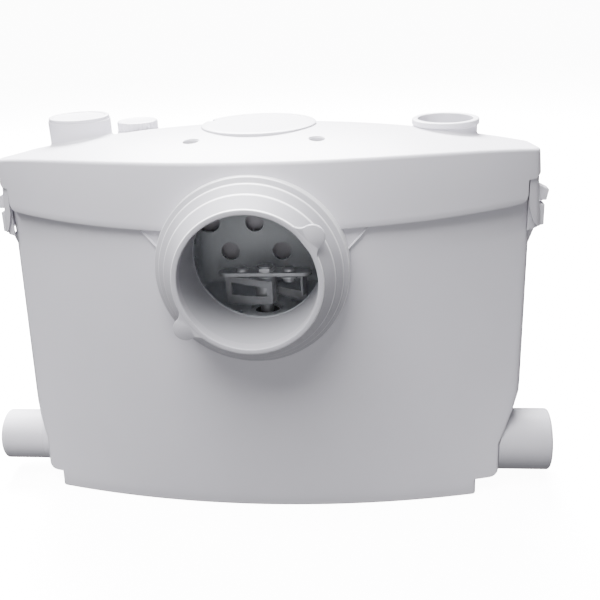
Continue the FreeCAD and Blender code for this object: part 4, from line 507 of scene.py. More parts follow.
def wall_behind(x, z):
    """The wall that the sleeve's back edge lies on: the lid's skirt above its edge, else the tank."""
    skirt = LID_ARC - LID_DEPTH - np.sqrt(LID_ARC ** 2 - x ** 2)
    return np.minimum(front_of_tank(x, z), np.where(z > SKIRT_EDGE, skirt, 0.0)) - 0.3


def soft_rubber(name, colour, roughness):
    """Moulded rubber: an even tone with a dusty bloom where the noise is high, a faint flow-line
    bump and a dull sheen."""
    material, tree, place = new_finish(name)
    bloom = noise(tree, place, 45.0, 5.0)
    dark, pale = np.multiply(colour, 0.975), np.multiply(colour, 1.02)
    return finished(material, {
        "Sheen Weight": 0.08,
        "Specular IOR Level": 0.35,
        "Base Color": two_tone(tree, bloom, (0.35, dark), (0.75, pale)),
        "Roughness": spread(tree, bloom, roughness - 0.06, roughness + 0.06),
        "Normal": raised(tree, noise(tree, place, 900.0), 0.00004, 0.5),
    })


def painted_highlight_rings(material, colour, radii, width=0.0006):
    """Paints highlights as narrow light rings round the inlet's axis, on the edges of the sleeve's steps:
    they are stops of a ramp over r = sqrt(x^2 + (z - 0.198)^2), which runs from 0.040 to 0.070."""
    tree = material.node_tree
    shader = tree.nodes["Principled BSDF"]
    low, high, black = 0.040, 0.070, (0.0, 0.0, 0.0)
    place = add_node(tree, "ShaderNodeTexCoord", {}).outputs["Object"]
    centred = add_node(tree, "ShaderNodeMapping", {"Vector": place, "Location": (0.0, 0.0, -INLET[2] * MM)})
    flat = add_node(tree, "ShaderNodeVectorMath", {0: centred.outputs["Vector"], 1: (1.0, 0.0, 1.0)},
                    operation="MULTIPLY")
    distance = add_node(tree, "ShaderNodeVectorMath", {0: flat.outputs["Vector"]}, operation="LENGTH")
    share = add_node(tree, "ShaderNodeMapRange",
                     {"Value": distance.outputs["Value"], "From Min": low, "From Max": high})
    rings = two_tone(tree, share.outputs["Result"], (0.0, black), (1.0, black))
    for radius in radii:
        for offset, bright in ((-width, 0.0), (0.0, 1.0), (width / 2, 0.0)):
            stop = rings.node.color_ramp.elements.new((radius + offset - low) / (high - low))
            stop.color = (bright, bright, bright, 1.0)
    tone = shader.inputs["Base Color"].links[0].from_socket
    blend = add_node(tree, "ShaderNodeMix", {"Factor": rings, "A": tone, "B": (*colour, 1.0)},
                     data_type="RGBA")
    feed(shader, {"Base Color": blend.outputs["Result"]})


sleeve_rubber = soft_rubber("sleeve_rubber", (0.43, 0.423, 0.46), 0.45)
# The sleeve's copy of the rubber carries painted highlights: light rings on the edges of its steps.
painted_highlight_rubber = soft_rubber("painted_highlight_rubber", (0.43, 0.423, 0.46), 0.45)
painted_highlight_rings(painted_highlight_rubber, (0.93, 0.92, 0.95), (0.0493, 0.0562, 0.0612, 0.0648))


def stepped_sleeve():
    """The stepped profile carried round the inlet's axis; its last rows lie on the wall behind."""
    a = full_turn(240)
    steps = [(NECK_BORE, NECK_SEAT), (NECK_BORE, 0.0), (49.3, 0.0), (49.3, 1.4), (56.2, 10.3),
             (56.2, 11.7), (61.2, 17.6), (61.2, 19.0), (SLEEVE_EDGE, 21.4), (SLEEVE_EDGE, 26.0)]
    profile = eased(steps, [0.0, 1.0, 1.3, 0.6, 0.8, 0.8, 0.8, 0.8, 0.9, 0.0], 5, closed=False)
    front = round_rows(INLET, profile[:, 0, None], profile[:, 1, None] + SLEEVE_FRONT, a, "y")
    edge = np.array([SLEEVE_EDGE, 61.0, 56.0, 51.3])[:, None]
    back = round_rows(INLET, edge, 0.0, a, "y")
    back[..., 1] = wall_behind(back[..., 0], back[..., 2])
    socket = back[-1:].copy()
    socket[..., 1] = SLEEVE_FRONT + NECK_SEAT
    return skin("toilet_inlet_sleeve", np.concatenate([front, back, socket, front[:1]]), painted_highlight_rubber)


def pull_ear(angle):
    """A round lobe of radius 8 at an angle of the rim; a hollow curve on each side runs into it."""
    foot, reach, lobe = 45.3, 53.0, 8.0
    a = np.linspace(0.0, np.pi, 21)
    top = np.column_stack([lobe * np.cos(a), reach + lobe * np.sin(a)])
    t = np.linspace(0.0, 1.0, 9)[:-1, None]
    right = curve(t, np.array([17.0, foot]), np.array([9.2, foot + 3.0]), top[0])
    across, out = np.vstack([right, top, (right * (-1.0, 1.0))[::-1]]).T
    outline = np.column_stack([out * np.cos(angle) - across * np.sin(angle),
                               INLET[2] + out * np.sin(angle) + across * np.cos(angle)])
    centre = np.array([49.0 * np.cos(angle), INLET[2] + 49.0 * np.sin(angle)])
    levels = ((0.0, 0.05), (0.93, 0.05), (0.98, 0.35), (1.0, 0.9), (1.0, 2.2), (0.97, 2.8), (0.0, 3.0))
    rows = [at_depth(centre + (outline - centre) * share, SLEEVE_FRONT + y) for share, y in levels]
    return skin("ear", rows, sleeve_rubber, None)


sleeve = stepped_sleeve()
ears = [pull_ear(np.radians(angle)) for angle in (36.0, 216.0)]
carve(sleeve, ears, "UNION")
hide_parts("wc_sleeve")


# Rubber sleeve on the right side inlet. A short cuff of the same rubber, pushed over the spigot up to
# the tank's side, with a rounded lip round its open end, where a waste pipe goes in.
def side_sleeve():
    """A tube whose inner end lies against the tank's side, 0.3 mm off, at every angle."""
    a = full_turn(120)
    outer_end = eased([(19.9, 212.8), (17.2, 212.8), (17.2, 216.5), (24.0, 216.5), (24.0, 205.0)],
                      [0.0, 0.4, 0.7, 2.6, 0.0], 6, closed=False)
    lip = round_rows(SIDE_INLET, outer_end[:, 0, None], outer_end[:, 1, None], a, "x")
    inner = round_rows(SIDE_INLET, np.array([24.0, 19.9])[:, None], 0.0, a, "x")
    z = inner[..., 2]
    upright, lean = LOW_RIGHT + 0.3, np.clip(z - LEAN_START, 0.0, LEAN_RISE) / LEAN_RISE
    under = np.clip(18.0 - z, 0.0, 5.0) ** 2 / 5.0
    inner[..., 0] = np.maximum(upright + RIGHT_LEAN * lean, upright - under)
    return skin("side_inlet_sleeve", np.concatenate([lip, inner, lip[:1]]), sleeve_rubber)


right_sleeve = side_sleeve()
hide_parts("right_inlet_sleeve")


# Lid. The second moulding of the housing: a skirt that laps over the tank's rim, rounded into a
# crowned top. Two screws and two snap latches hold it down, and the fittings stand on it.
CROWN_TOP, CROWN_ALONG, CROWN_ACROSS = 279.5, 1000.0, 270.0
SKIRT_BOTTOM, LID_WALL = 223.8, 3.0


def crown(x, y):
    """Height of the lid's top: z = top - A + sqrt(R(y)^2 - x^2), R(y) = A - B + sqrt(B^2 - y^2)."""
    radius = CROWN_ALONG - CROWN_ACROSS + np.sqrt(CROWN_ACROSS ** 2 - y ** 2)
    return CROWN_TOP - CROWN_ALONG + np.sqrt(radius ** 2 - x ** 2)


def skirt_plan(inset, z):
    """The lid's plan at an inset, its ends leaning out below the crown: x (1 + 0.0004 (262 - z))."""
    return lid_plan(inset) * (1.0 + 0.0004 * np.maximum(262.0 - z, 0.0), 1.0)


def lid_ring(inset, z):
    """One row of the lid's skirt, at an inset and a height."""
    return at_height(skirt_plan(inset, z), z)


def crowned(inset, drop):
    """Rows that draw a plan in to a line along the lid's middle, all on the crown less drop."""
    plan = lid_plan(inset)
    end, corner = 130.0, 12
    front = np.linspace(-end, end, 61)
    spine = np.zeros_like(plan)
    spine[:, 0] = np.concatenate([np.full(corner, -end), front, np.full(2 * corner, end), front[::-1],
                                  np.full(corner, -end)])
    share = np.array([0.0, 0.03, 0.08, 0.16, 0.28, 0.42, 0.56, 0.7, 0.84, 0.94, 1.0])[:, None, None]
    plan = (1 - share) * plan + share * spine
    return np.concatenate([plan, crown(plan[..., 0], plan[..., 1])[..., None] - drop], axis=-1)


def lid_shell():
    """Rows from the middle of the inside out, down the skirt's inside, round its lower edge, up the
    outside, over the rounded shoulder of radius r at (x(d), crown - r + r sin t), d = r - r cos t,
    and in over the crown."""
    ledge, ledge_z = 9.0, 244.0
    inside = list(crowned(ledge, LID_WALL)[::-1])
    inside += [lid_ring(ledge, ledge_z), lid_ring(3.0, ledge_z), lid_ring(3.0, SKIRT_BOTTOM + 0.7),
               lid_ring(2.7, SKIRT_BOTTOM + 0.2), lid_ring(2.3, SKIRT_BOTTOM)]
    outside = [lid_ring(0.7, SKIRT_BOTTOM), lid_ring(0.2, SKIRT_BOTTOM + 0.2),
               lid_ring(0.0, SKIRT_BOTTOM + 0.7), lid_ring(0.0, 229.0), lid_ring(0.0, 236.0)]
    r, shoulder = 2.2, []
    for t in np.linspace(0.0, np.pi / 2, 7)[:-1]:
        plan = lid_plan(r - r * np.cos(t))
        shoulder.append(np.column_stack([plan, crown(*plan.T) - r + r * np.sin(t)]))
    return skin("lid_shell", inside + outside + shoulder + list(crowned(r, 0.0)), white)


def plug_between(line, start, end, place):
    """A straight-sided plug to cut with: an outline at its start and its end, closed to its middle."""
    line = np.array(line, dtype=float)
    middle = np.broadcast_to(line.mean(axis=0), line.shape)
    levels = ((middle, start), (line, start), (line, end), (middle, end))
    return skin("cutter", [place(points, level) for points, level in levels], white, None)


def box_cutter(low, high):
    """A plug with four upright sides, from its lowest corner to its highest."""
    plan = [low[:2], (high[0], low[1]), high[:2], (low[0], high[1])]
    return plug_between(plan, low[2], high[2], at_height)


LEFT_TOP, RIGHT_TOP = (-141.0, 31.5, 0.0), (133.0, 31.5, 0.0)
VENT, RISER = (-2.0, 14.5, 0.0), (-102.0, 50.8, 0.0)
LATCH_SLOT_X, LATCH_ROOT, LATCH_TIP, BEYOND = 188.4, 240.0, 203.0, 204.0
lid = lid_shell()
lid_cuts = []
for radius, bottom, centre in ((20.0, 250.0, LEFT_TOP), (20.0, 250.0, RIGHT_TOP), (36.9, 262.0, VENT),
                               (41.8, 277.6, VENT), (12.3, 225.0, RISER), (16.0, 270.8, RISER)):
    lid_cuts.append(round_cutter(radius, bottom, 290.0, centre, "z"))
lid_cuts.append(round_cutter(52.5, -90.0, -40.0, INLET, "y"))
SCREW_X, SCREW_Y = 43.0, -32.0
for x in (-SCREW_X, SCREW_X):
    top = crown(x, SCREW_Y)
    sink = np.array([[0.0, 264.0], [5.2, 264.0], [5.2, top - 0.7], [5.5, top - 0.2], [6.1, top + 0.3],
                     [6.1, 285.0], [0.0, 285.0]])
    lid_cuts.append(turned("cutter", sink, (x, SCREW_Y, 0.0), "z", white, None, 48))
bend = np.linspace(0.0, np.pi / 2, 9)
inner_x, slope_x, below = LATCH_SLOT_X - 7.0, 194.3, SKIRT_BOTTOM - 2.0
corner = np.column_stack([inner_x + 7.0 * np.cos(bend), SKIRT_BOTTOM + 6.0 - 6.0 * np.sin(bend)])
notch = [(BEYOND, LATCH_ROOT), (LATCH_SLOT_X, LATCH_ROOT), *corner, (inner_x, below), (BEYOND, below)]
slope = [(slope_x, LATCH_ROOT - 1.0), (BEYOND, LATCH_ROOT - 1.0), (BEYOND, LATCH_ROOT + 6.6),
         (slope_x, LATCH_ROOT)]
for side in (-1.0, 1.0):
    for outline in (notch, slope):
        lid_cuts.append(plug_between(both_sides(outline, side), -72.0, 28.4, at_depth))
carve(lid, lid_cuts)
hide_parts("lid")


# What is moulded on the lid: two round spigots for waste pipes from above, the cup of the vent's
# filter, the collar round the riser, and posts under the crown for the screws.
def lid_spigot(name, centre, rim):
    """A rim profile turned about an upright axis; below it the wall flares into the crown, its rows
    at z = crown(x, y) + lift for each angle."""
    a = full_turn(120)
    top = round_rows(centre, rim[:, 0, None], rim[:, 1, None], a)
    flare = np.array([[23.0, 2.2], [23.15, 1.2], [23.6, 0.5], [24.3, 0.1], [24.9, -0.1], [24.9, -1.0]])
    foot = round_rows(centre, flare[:, 0, None], flare[:, 1, None], a)
    foot[..., 2] += crown(foot[..., 0], foot[..., 1])
    low = np.array([[23.0, 256.0], [23.0, 254.0], [20.0, 254.0]])
    under = round_rows(centre, low[:, 0, None], low[:, 1, None], a)
    return skin(name, np.concatenate([top, foot, under, top[:1]]), white)


plain_rim = eased([(20.0, 270.0), (20.0, 283.0), (23.0, 283.0), (23.0, 272.0)], [0, 0.6, 0.6, 0], 5,
                  closed=False)
lipped_rim = eased([(20.0, 268.0), (20.0, 277.5), (24.3, 277.5), (24.3, 273.5), (23.0, 272.9),
                    (23.0, 270.0)], [0, 0.7, 1.2, 0.7, 0.5, 0], 5, closed=False)
lid_pieces = [lid_spigot("left_top_spigot", LEFT_TOP, plain_rim),
              lid_spigot("right_top_spigot", RIGHT_TOP, lipped_rim)]
cup_wall = eased([(0.0, 262.0), (38.2, 262.0), (38.2, 268.5), (41.5, 270.0), (41.5, 277.6), (36.2, 277.6),
                  (36.2, 264.0), (0.0, 264.0)], [0, 0.6, 0.8, 0.6, 0.3, 0.3, 0.6, 0], 4, closed=False)
vent_cup = turned("vent_cup", cup_wall, VENT, "z", white)
slots = []
for step in range(-2, 3):
    y = VENT[1] + 9.0 * step
    slots.append(box_cutter((VENT[0] - 21.0, y - 1.5, 255.0), (VENT[0] + 21.0, y + 1.5, 270.0)))
carve(vent_cup, slots)
collar_wall = eased([(12.3, 259.0), (16.0, 259.0), (16.0, 270.8), (12.3, 270.8)], 0.4)
collar = turned("riser_collar", collar_wall, RISER, "z", white)
lid_pieces += [vent_cup, collar]
for number, (x, y, low, high, outer, bore) in enumerate((
        (-SCREW_X, SCREW_Y, 250.0, 266.0, 7.0, 2.3), (SCREW_X, SCREW_Y, 250.0, 266.0, 7.0, 2.3),
        (75.0, -28.0, 236.0, 270.0, 4.5, 1.65), (119.0, 2.0, 236.0, 268.0, 4.5, 1.65))):
    wall = eased([(bore, low), (outer, low), (outer, high), (bore, high)], 0.4)
    lid_pieces.append(turned(f"lid_post_{number}", wall, (x, y, 0.0), "z", white, HOUSING, 40))
for piece in lid_pieces:
    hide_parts("lid")


# Snap latches. Two thin tongues at the lid's front corners, cut free from its skirt and held at
# their roots, each with a window that catches a peg on the tank and a lip to pull it off by.
def latch_sheet(name, front, rear, heights, cut):
    """A sheet between two insets of the skirt's plan, from the slot round to its rear edge. Its end
    is cut along z = 203 + cut (1 - u)^1.8, with u running from the slot to the side, and under the
    window the side steps out along x into a lip."""
    def wall(inset, z):
        plan = skirt_plan(inset, z)
        plan = plan[(plan[:, 0] > 150.0) & (plan[:, 1] < 12.0)]
        x, y = np.vstack([plan, [[plan[:, 0].max(), 27.0]]]).T
        run = np.append(0.0, np.cumsum(np.hypot(np.diff(x), np.diff(y))))
        place = np.linspace(np.interp(LATCH_SLOT_X + 1.3, x, run), run[-1], 48)
        return np.column_stack([np.interp(place, run, x), np.interp(place, run, y)])

    out = np.stack([wall(front, z) for z in heights])
    back = np.stack([wall(rear, z) for z in heights])
    lip = np.interp(heights, [LATCH_TIP, 208.0, 217.8, 218.4, 219.0], [3.0, 3.3, 4.0, 2.0, 0.0])[:, None]
    lip = lip * np.clip((out[0, :, 1] - 4.0) / 1.8, 0.0, 1.0)
    out[..., 0] += lip
    back[..., 0] += 0.85 * lip
    around = np.clip((out[-1, :, 0] - out[-1, :, 0].min()) / 9.0, 0.0, 1.0)
    share = (heights[-1] - heights[:, None]) / (heights[-1] - heights[0])
    level = heights[:, None] + cut * share * (1 - around) ** 1.8
    ring = np.concatenate([out, back[:, ::-1]], axis=1)
    ring = np.concatenate([ring, np.concatenate([level, level[:, ::-1]], axis=1)[..., None]], axis=-1)
    ends = [(row + row[::-1]) / 2 for row in (ring[0], ring[-1])]
    return skin(name, np.concatenate([ends[:1], ring, ends[1:]]), white, None)


def latch(name, side):
    """The tongue is a sheet cut back under the slot, with a second one behind it that is left long.
    Both are mirrored for the left side, and the window goes through them."""
    heights = np.array([LATCH_TIP, 203.4, 205.0, 208.0, 213.0, 217.0, 217.8, 218.4, 219.0, 224.0, 232.0,
                        239.3, 239.7])
    tongue = latch_sheet(name, 1.4, 3.2, heights, 18.0)
    carve(tongue, [latch_sheet("inner_sheet", 2.6, 3.8, heights[:10], 0.0)], "UNION")
    tongue.data.transform(Matrix.Diagonal((side, 1.0, 1.0, 1.0)))
    if side < 0.0:
        tongue.data.flip_normals()
    low, high = sorted((side * 185.0, side * 220.0))
    carve(tongue, [box_cutter((low, 6.4, 218.4), (high, 17.6, 236.4))])
    ease = tongue.modifiers.new("ease", "BEVEL")
    ease.width = 0.25 * MM
    ease.segments = 2
    ease.angle_limit = 0.9
    settle(tongue)
    return tongue


for side, name in ((-1.0, "latch_left"), (1.0, "latch_right")):
    tongue = latch(name + "_tongue", side)
    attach(tongue, name + "_body")
    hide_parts(name)


# Fittings pushed into the lid by hand: the plug in the spare inlet, the knurled cap over the
# discharge, and the vent's round cover, which lifts off by the notch in its edge.
plug_profile = eased([(0.0, 283.0), (17.95, 283.0), (17.95, 274.0), (19.95, 274.0), (19.95, 283.0),
                      (22.3, 283.0), (22.3, 285.5), (19.4, 285.5), (19.0, 284.9), (0.0, 284.9)],
                     [0, 0.3, 0.4, 0.7, 0.2, 0.3, 0.8, 0.5, 0.5, 0], 5, closed=False)
plug = turned("spare_inlet_plug", plug_profile, LEFT_TOP, "z", white, "top_inlet_plug_body", 120)
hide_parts("top_inlet_plug")


def knurled_cap():
    """A cap whose side ripples round it: r = profile + 0.35 cos(28 a) where it is ribbed."""
    profile = np.array([[12.05, 271.1, 0], [15.0, 271.1, 0], [15.15, 271.3, 1], [15.15, 274.0, 1],
                        [15.15, 276.6, 1], [14.9, 277.4, 0.6], [14.2, 277.9, 0.1], [13.4, 278.0, 0],
                        [12.6, 277.8, 0], [0.0, 277.8, 0], [0.0, 276.4, 0], [12.05, 276.4, 0],
                        [12.05, 271.1, 0]])
    a = full_turn(336)
    radius = profile[:, 0, None] + 0.35 * profile[:, 2, None] * np.cos(28 * a)
    grid = round_rows(RISER, radius, profile[:, 1, None], a)
    return skin("discharge_knurled_cap", grid, white, "discharge_cap_body")


cap = knurled_cap()
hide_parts("discharge_cap")


def vent_disc():
    """A round cover with a finger notch: within the notch its edge lies at
    r = R cos d - sqrt(n^2 - (R sin d)^2), d being the angle from the notch's middle."""
    a = full_turn(480)
    d = (a - np.radians(160.0) + np.pi) % (2 * np.pi) - np.pi
    big, small = 41.5, 4.0
    inside = np.abs(big * np.sin(d)) < small
    dent = big * np.cos(d) - np.sqrt(np.maximum(small ** 2 - (big * np.sin(d)) ** 2, 0.0))
    edge = np.where(inside & (np.cos(d) > 0), dent, big)
    rows = np.array([(0.0, 277.6, 0), (34.15, 277.6, 0), (34.15, 274.6, 0), (36.15, 274.6, 0),
                     (36.15, 277.6, 0), (0.0, 277.6, 1), (0.0, 279.4, 1), (-0.2, 279.9, 1),
                     (-0.7, 280.2, 1), (36.0, 280.2, 0), (20.0, 280.2, 0), (0.0, 280.2, 0)])
    grid = round_rows(VENT, rows[:, :1] + rows[:, 2:] * edge, rows[:, 1:2], a)
    return skin("vent_round_cover", grid, white, "vent_cover_body")


vent_cover = vent_disc()
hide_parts("vent_cover")


# Basket. A grey plastic tub round the cutter, screwed under the lid. Its staggered holes let
# water and ground waste out to the pump, and hold the rest back.
def tub_ring(inset, z):
    """A level of the tub: four corners c + r (cos a, sin a) joined by straight runs."""
    half, front, back, corner = 60.0 - inset, 45.7 - inset, 48.0 - inset, 14.0 - inset
    a = np.linspace(0.0, np.pi / 2, 13)
    sharp, runs = 1.0, []
    for turn, (x, y, r) in enumerate(((half - corner, back - corner, corner),
                                      (corner - half, back - corner, corner),
                                      (sharp - half, sharp - front, sharp),
                                      (half - sharp, sharp - front, sharp))):
        runs.append(np.column_stack([x + r * np.cos(a + turn * np.pi / 2),
                                     y + r * np.sin(a + turn * np.pi / 2)]))
    return at_height(np.vstack(runs), z)


inner_plastic = moulded("inner_plastic", (0.52, 0.54, 0.57), 0.5, 0.00005, 0.05)
TUB_BOTTOM, TUB_TOP, TUB_WALL, BOSS_FOOT = 143.0, 250.0, 2.5, 237.0
levels = [(0.8, TUB_BOTTOM), (0.2, TUB_BOTTOM + 0.3), (0.0, TUB_BOTTOM + 1.0), (0.0, 196.0),
          (0.0, TUB_TOP - 0.5), (0.5, TUB_TOP), (TUB_WALL - 0.5, TUB_TOP), (TUB_WALL, TUB_TOP - 0.5),
          (TUB_WALL, 196.0), (TUB_WALL, 149.0), (TUB_WALL + 0.4, 147.2), (TUB_WALL + 1.4, 146.2),
          (TUB_WALL + 3.0, 146.0)]
tub_rows = [tub_ring(inset, z) for inset, z in levels]
middle = np.array([0.0, 0.0, 1.0])
tub_rows = [tub_rows[0] * middle] + tub_rows + [tub_rows[-1] * middle]
basket = skin("basket_tub", tub_rows, inner_plastic)
SHAFT = (0.0, -9.0, 172.0)
HOLE, PITCH, LOWEST_ROW, ROW_RISE = 7.5, 21.0, 171.5, 24.0
basket_cuts = [round_cutter(45.4, -52.0, -40.0, INLET, "y"),
               round_cutter(12.0, 135.0, 155.0, (SHAFT[0], SHAFT[1], 0.0), "z", 0.4)]
for row in range(3):
    height, odd = LOWEST_ROW + ROW_RISE * row, row % 2
    for column in (-1, 1):
        x = 6.7 + PITCH * (column - 1 + odd)
        basket_cuts.append(round_cutter(HOLE, 30.0, 60.0, (x, 0.0, height), "y"))
        y = PITCH * column * (0.6 + 0.2 * odd)
        basket_cuts.append(round_cutter(HOLE, -80.0, 80.0, (0.0, y, height), "x"))
basket_cuts.append(round_cutter(HOLE, 30.0, 60.0, (-50.3, 0.0, LOWEST_ROW + ROW_RISE), "y"))
drain_circle = 25.52
for number in range(6):
    angle = np.pi / 3 * (number + 0.5)
    hole = (drain_circle * np.cos(angle), drain_circle * np.sin(angle) + SHAFT[1], 0.0)
    basket_cuts.append(round_cutter(5.2, 135.0, 155.0, hole, "z", 0.3))
for cutter in basket_cuts:
    carve(basket, [cutter])
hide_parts("basket")
for number, x in enumerate((-SCREW_X, SCREW_X)):
    wall = eased([(2.05, BOSS_FOOT), (6.0, BOSS_FOOT), (6.0, TUB_TOP), (2.05, TUB_TOP)], 0.4)
    boss = turned(f"basket_boss_{number}", wall, (x, SCREW_Y, 0.0), "z", inner_plastic, HOUSING, 40)
    face = [(x - 2.0, BOSS_FOOT), (x + 2.0, BOSS_FOOT), (x + 2.0, TUB_TOP), (x - 2.0, TUB_TOP)]
    web = upright_bar(f"basket_web_{number}", face, -44.5, -37.0, inner_plastic, 0.3)
    for piece in (boss, web):
        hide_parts("basket")


# Cutter. A stainless bar, keyed on the motor's shaft under a nut, with two window blades of bent
# sheet hung from domed pins; they swing out and grind what falls on the basket's floor.
def brushed(name, colour, roughness, metallic, along=(1.0, 60.0, 60.0), scale=90.0):
    """Brushed metal: noise drawn out along one direction gives the scratches, which change the
    gloss and stand up as a very fine bump, and a slow noise dulls it in patches."""
    material, tree, place = new_finish(name)
    stretch = add_node(tree, "ShaderNodeMapping", {"Vector": place, "Scale": along})
    scratch = noise(tree, stretch.outputs["Vector"], scale, 6.0)
    dull, patches = np.multiply(colour, 0.82), noise(tree, place, 60.0, 3.0)
    return finished(material, {
        "Metallic": metallic,
        "Base Color": two_tone(tree, patches, (0.3, dull), (0.7, colour)),
        "Roughness": spread(tree, scratch, roughness - 0.08, roughness + 0.12),
        "Normal": raised(tree, scratch, 0.00002, 0.5),
    })


steel = brushed("steel", (0.60, 0.61, 0.635), 0.52, 0.72)
PIN_CIRCLE, SHAFT_BORE, BAR_THICK = 17.5, 5.05, 3.0


def rounded_bar(half, width, thick, ease=0.35):
    """Bar with half-round ends: its outline is x = +-(half - width) + width cos a, y = width sin a,
    and its faces run in to a round bore."""
    a = full_turn(96)
    side_of = np.sign(np.cos(a)) * (np.abs(np.cos(a)) > 1e-9)
    rows = []
    for radius, z in ((None, 0.0), (width - ease, 0.0), (width, ease), (width, thick - ease),
                      (width - ease, thick), (None, thick), (None, 0.0)):
        row = round_rows(SHAFT, radius or SHAFT_BORE, z, a)
        if radius:
            row[:, 0] += side_of * (half - width)
        rows.append(row)
    return skin("cutter_bar_plate", rows, steel, "rotor")


def hexagon_nut(flats, height):
    """A nut: r(a) = f / cos((a mod 60) - 30), cut down to a cone at both ends."""
    a = full_turn(96)
    hexagon = flats / 2 / np.cos(np.mod(a, np.pi / 3) - np.pi / 6)
    rows = []
    for limit, z in ((SHAFT_BORE, 0.0), (flats / 2 + 0.2, 0.0), (9.0, 0.7), (9.0, height - 0.7),
                     (flats / 2 + 0.2, height), (SHAFT_BORE + 0.5, height), (SHAFT_BORE, height - 0.5),
                     (SHAFT_BORE, 0.0)):
        rows.append(round_rows(SHAFT, np.minimum(hexagon, limit), BAR_THICK + z, a))
    return skin("cutter_nut_hexagon", rows, steel, "rotor")


bar = rounded_bar(35.0, 6.5, BAR_THICK)
hub_wall = eased([(SHAFT_BORE, -22.0), (8.0, -22.0), (8.0, -0.05), (SHAFT_BORE, -0.05)], 0.5)
hub = turned("cutter_hub", hub_wall, SHAFT, "z", steel, "rotor", 64)
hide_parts("cutter_bar")
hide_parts("cutter_bar")
nut = hexagon_nut(13.0, 3.2)
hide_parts("cutter_nut")
dome = np.linspace(0.0, np.pi / 2, 8)
head = np.column_stack([4.6 * np.cos(dome), BAR_THICK + 0.8 + 2.4 * np.sin(dome)])
pin_profile = np.vstack([[(0.0, -5.4), (4.1, -5.4), (4.6, -4.9), (4.6, -2.2), (2.6, -2.2),
                          (2.6, BAR_THICK), (4.6, BAR_THICK)], head])
pins = []
for number, x in enumerate((-PIN_CIRCLE, PIN_CIRCLE)):
    pins.append(turned(f"blade_pin_{number}", pin_profile, (x, *SHAFT[1:]), "z", steel, "rotor", 48))
for pin in pins:
    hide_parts("blade_pins")


def blade(name, side):
    """Two flat plates and a flange with eased edges, drawn with the pin on the origin and turned to
    their place under the bar. The low edges are curves z = low + rise t - sag (t - t^2)."""
    t = np.linspace(0.0, 1.0, 13)
    start, end, top, low = -11.3, 28.2, -0.3, -24.3
    edge = np.column_stack([start + (end - start) * t, low + 2.0 + 5.0 * t - 3.2 * (t - t ** 2)])
    outline = np.vstack([edge, [(end, top), (start, top)]])
    plate = upright_bar(f"{name}_plate", outline, -7.0, -5.4, steel, 0.3, None)
    window_start, window_end = start + 4.6, end - 4.6
    edge = np.column_stack([window_start + (window_end - window_start) * t,
                            -14.8 + 2.5 * t - 2.4 * (t - t ** 2)])
    window = np.vstack([edge, [(window_end, -5.8), (window_start, -4.8)]])
    carve(plate, [plug_between(window, -9.0, -4.0, at_depth)])
    a, lug_radius = np.linspace(0.0, np.pi, 25), 7.5
    corner = np.array([[-lug_radius, -6.6], [lug_radius, -6.6]])
    plan = np.vstack([corner, np.column_stack([lug_radius * np.cos(a), lug_radius * np.sin(a)])])
    centre = plan.mean(axis=0)
    levels = ((0.0, -1.9), (0.96, -1.9), (1.0, -1.6), (1.0, -0.6), (0.96, -0.3), (0.0, -0.3))
    rows = [at_height(centre + (plan - centre) * share, z) for share, z in levels]
    lug = skin(f"{name}_lug", rows, steel, None)
    face = [(start, -16.3), (start + 1.6, -16.3), (start + 1.6, top), (start, top)]
    flange = upright_bar(f"{name}_flange", face, -6.0, 0.5, steel, 0.3, None)
    carve(plate, [lug, flange], "UNION")
    turn = np.radians((0.0 if side < 0 else 180.0) - 20.7)
    pin = np.multiply((side * PIN_CIRCLE, *SHAFT[1:]), MM)
    plate.data.transform(Matrix.Translation(pin.tolist()) @ Matrix.Rotation(turn, 4, "Z"))
    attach(plate, f"{name}_body")
    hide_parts(name)


blade("blade_a", -1.0)
blade("blade_b", 1.0)


# Motor, pump, valve, switch and screws. Their solids are right as they stand, and get the real
# finishes: seals, foam, black and grey plastic, turned steel, stacked sheet, wire and a drawn can.
def open_foam():
    """Open-cell foam: a cell pattern gives pores dark with painted shade between paler walls, deep enough to
    see.
    """
    material, tree, place = new_finish("filter_foam")
    cells = add_node(tree, "ShaderNodeTexVoronoi", {"Vector": place, "Scale": 900.0},
                     feature="DISTANCE_TO_EDGE").outputs["Distance"]
    wall, pore = (0.075, 0.075, 0.08), (0.012, 0.012, 0.013)
    return finished(material, {
        "Roughness": 0.95,
        "Base Color": two_tone(tree, cells, (0.0, wall), (0.18, pore)),
        "Normal": raised(tree, cells, 0.0004, invert=True),
    })


def banded(name, dark, pale, turns, roughness):
    """Stacked sheet or laid wire: bands across Z, with painted shade in the grooves between them."""
    material, tree, place = new_finish(name)
    bands = add_node(tree, "ShaderNodeTexWave", {"Vector": place, "Scale": turns, "Distortion": 0.6},
                     bands_direction="Z").outputs["Fac"]
    return finished(material, {
        "Metallic": 1.0,
        "Roughness": roughness,
        "Base Color": two_tone(tree, bands, (0.0, dark), (0.45, pale)),
        "Normal": raised(tree, bands, 0.0002),
    })


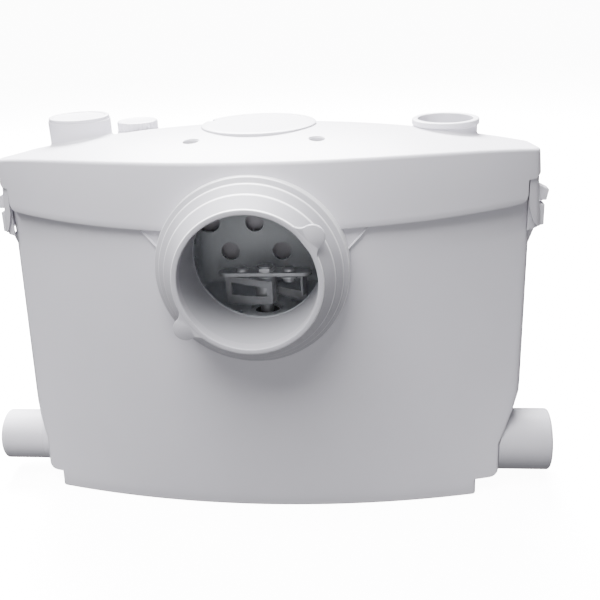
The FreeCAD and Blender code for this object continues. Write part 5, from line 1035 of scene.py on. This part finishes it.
finishes = {
    "moulded_white": white,
    "sleeve_rubber": sleeve_rubber,
    "seal_rubber": soft_rubber("seal_rubber", (0.030, 0.030, 0.032), 0.6),
    "filter_foam": open_foam(),
    "inner_plastic": inner_plastic,
    "dark_plastic": moulded("dark_plastic", (0.045, 0.045, 0.05), 0.42, 0.00006, 0.12),
    "steel": steel,
    "core_steel": banded("core_steel", (0.10, 0.10, 0.105), (0.36, 0.36, 0.37), 320.0, 0.45),
    "copper": banded("copper", (0.25, 0.10, 0.045), (0.74, 0.37, 0.20), 190.0, 0.32),
    "aluminium": brushed("aluminium", (0.72, 0.72, 0.735), 0.38, 0.95, (60.0, 60.0, 1.0), 60.0),
}
for row in frame["record"]["subparts"]:
    solid = frame["nodes"][row["node"]]
    solid.data.materials.clear()
    solid.data.materials.append(finishes[row["material_slot"]])


# The faces of these solids. They come as loose triangles, so they are joined and shaded smooth, and
# the real edges stay crisp.
def smooth_faces():
    """Joins loose faces and shades them smooth, except over edges sharper than 0.6 radians."""
    tree = bpy.data.node_groups.new("smooth_faces", "GeometryNodeTree")
    for way in ("INPUT", "OUTPUT"):
        tree.interface.new_socket("Geometry", in_out=way, socket_type="NodeSocketGeometry")
    start = add_node(tree, "NodeGroupInput", {})
    merge = add_node(tree, "GeometryNodeMergeByDistance", {"Geometry": start.outputs[0], "Distance": 1e-6})
    faces = add_node(tree, "GeometryNodeSetShadeSmooth", {"Geometry": merge.outputs["Geometry"]})
    angle = add_node(tree, "GeometryNodeInputMeshEdgeAngle", {})
    sharp = add_node(tree, "FunctionNodeCompare", {0: angle.outputs["Unsigned Angle"], 1: 0.6},
                     operation="GREATER_THAN")
    edges = add_node(tree, "GeometryNodeSetShadeSmooth", {
        "Geometry": faces.outputs["Geometry"],
        "Selection": sharp.outputs["Result"],
        "Shade Smooth": False,
    }, domain="EDGE")
    add_node(tree, "NodeGroupOutput", {0: edges.outputs["Geometry"]})
    return tree


smoothing = smooth_faces()
for part in frame["nodes"].values():
    part.modifiers.new("smooth", "NODES").node_group = smoothing
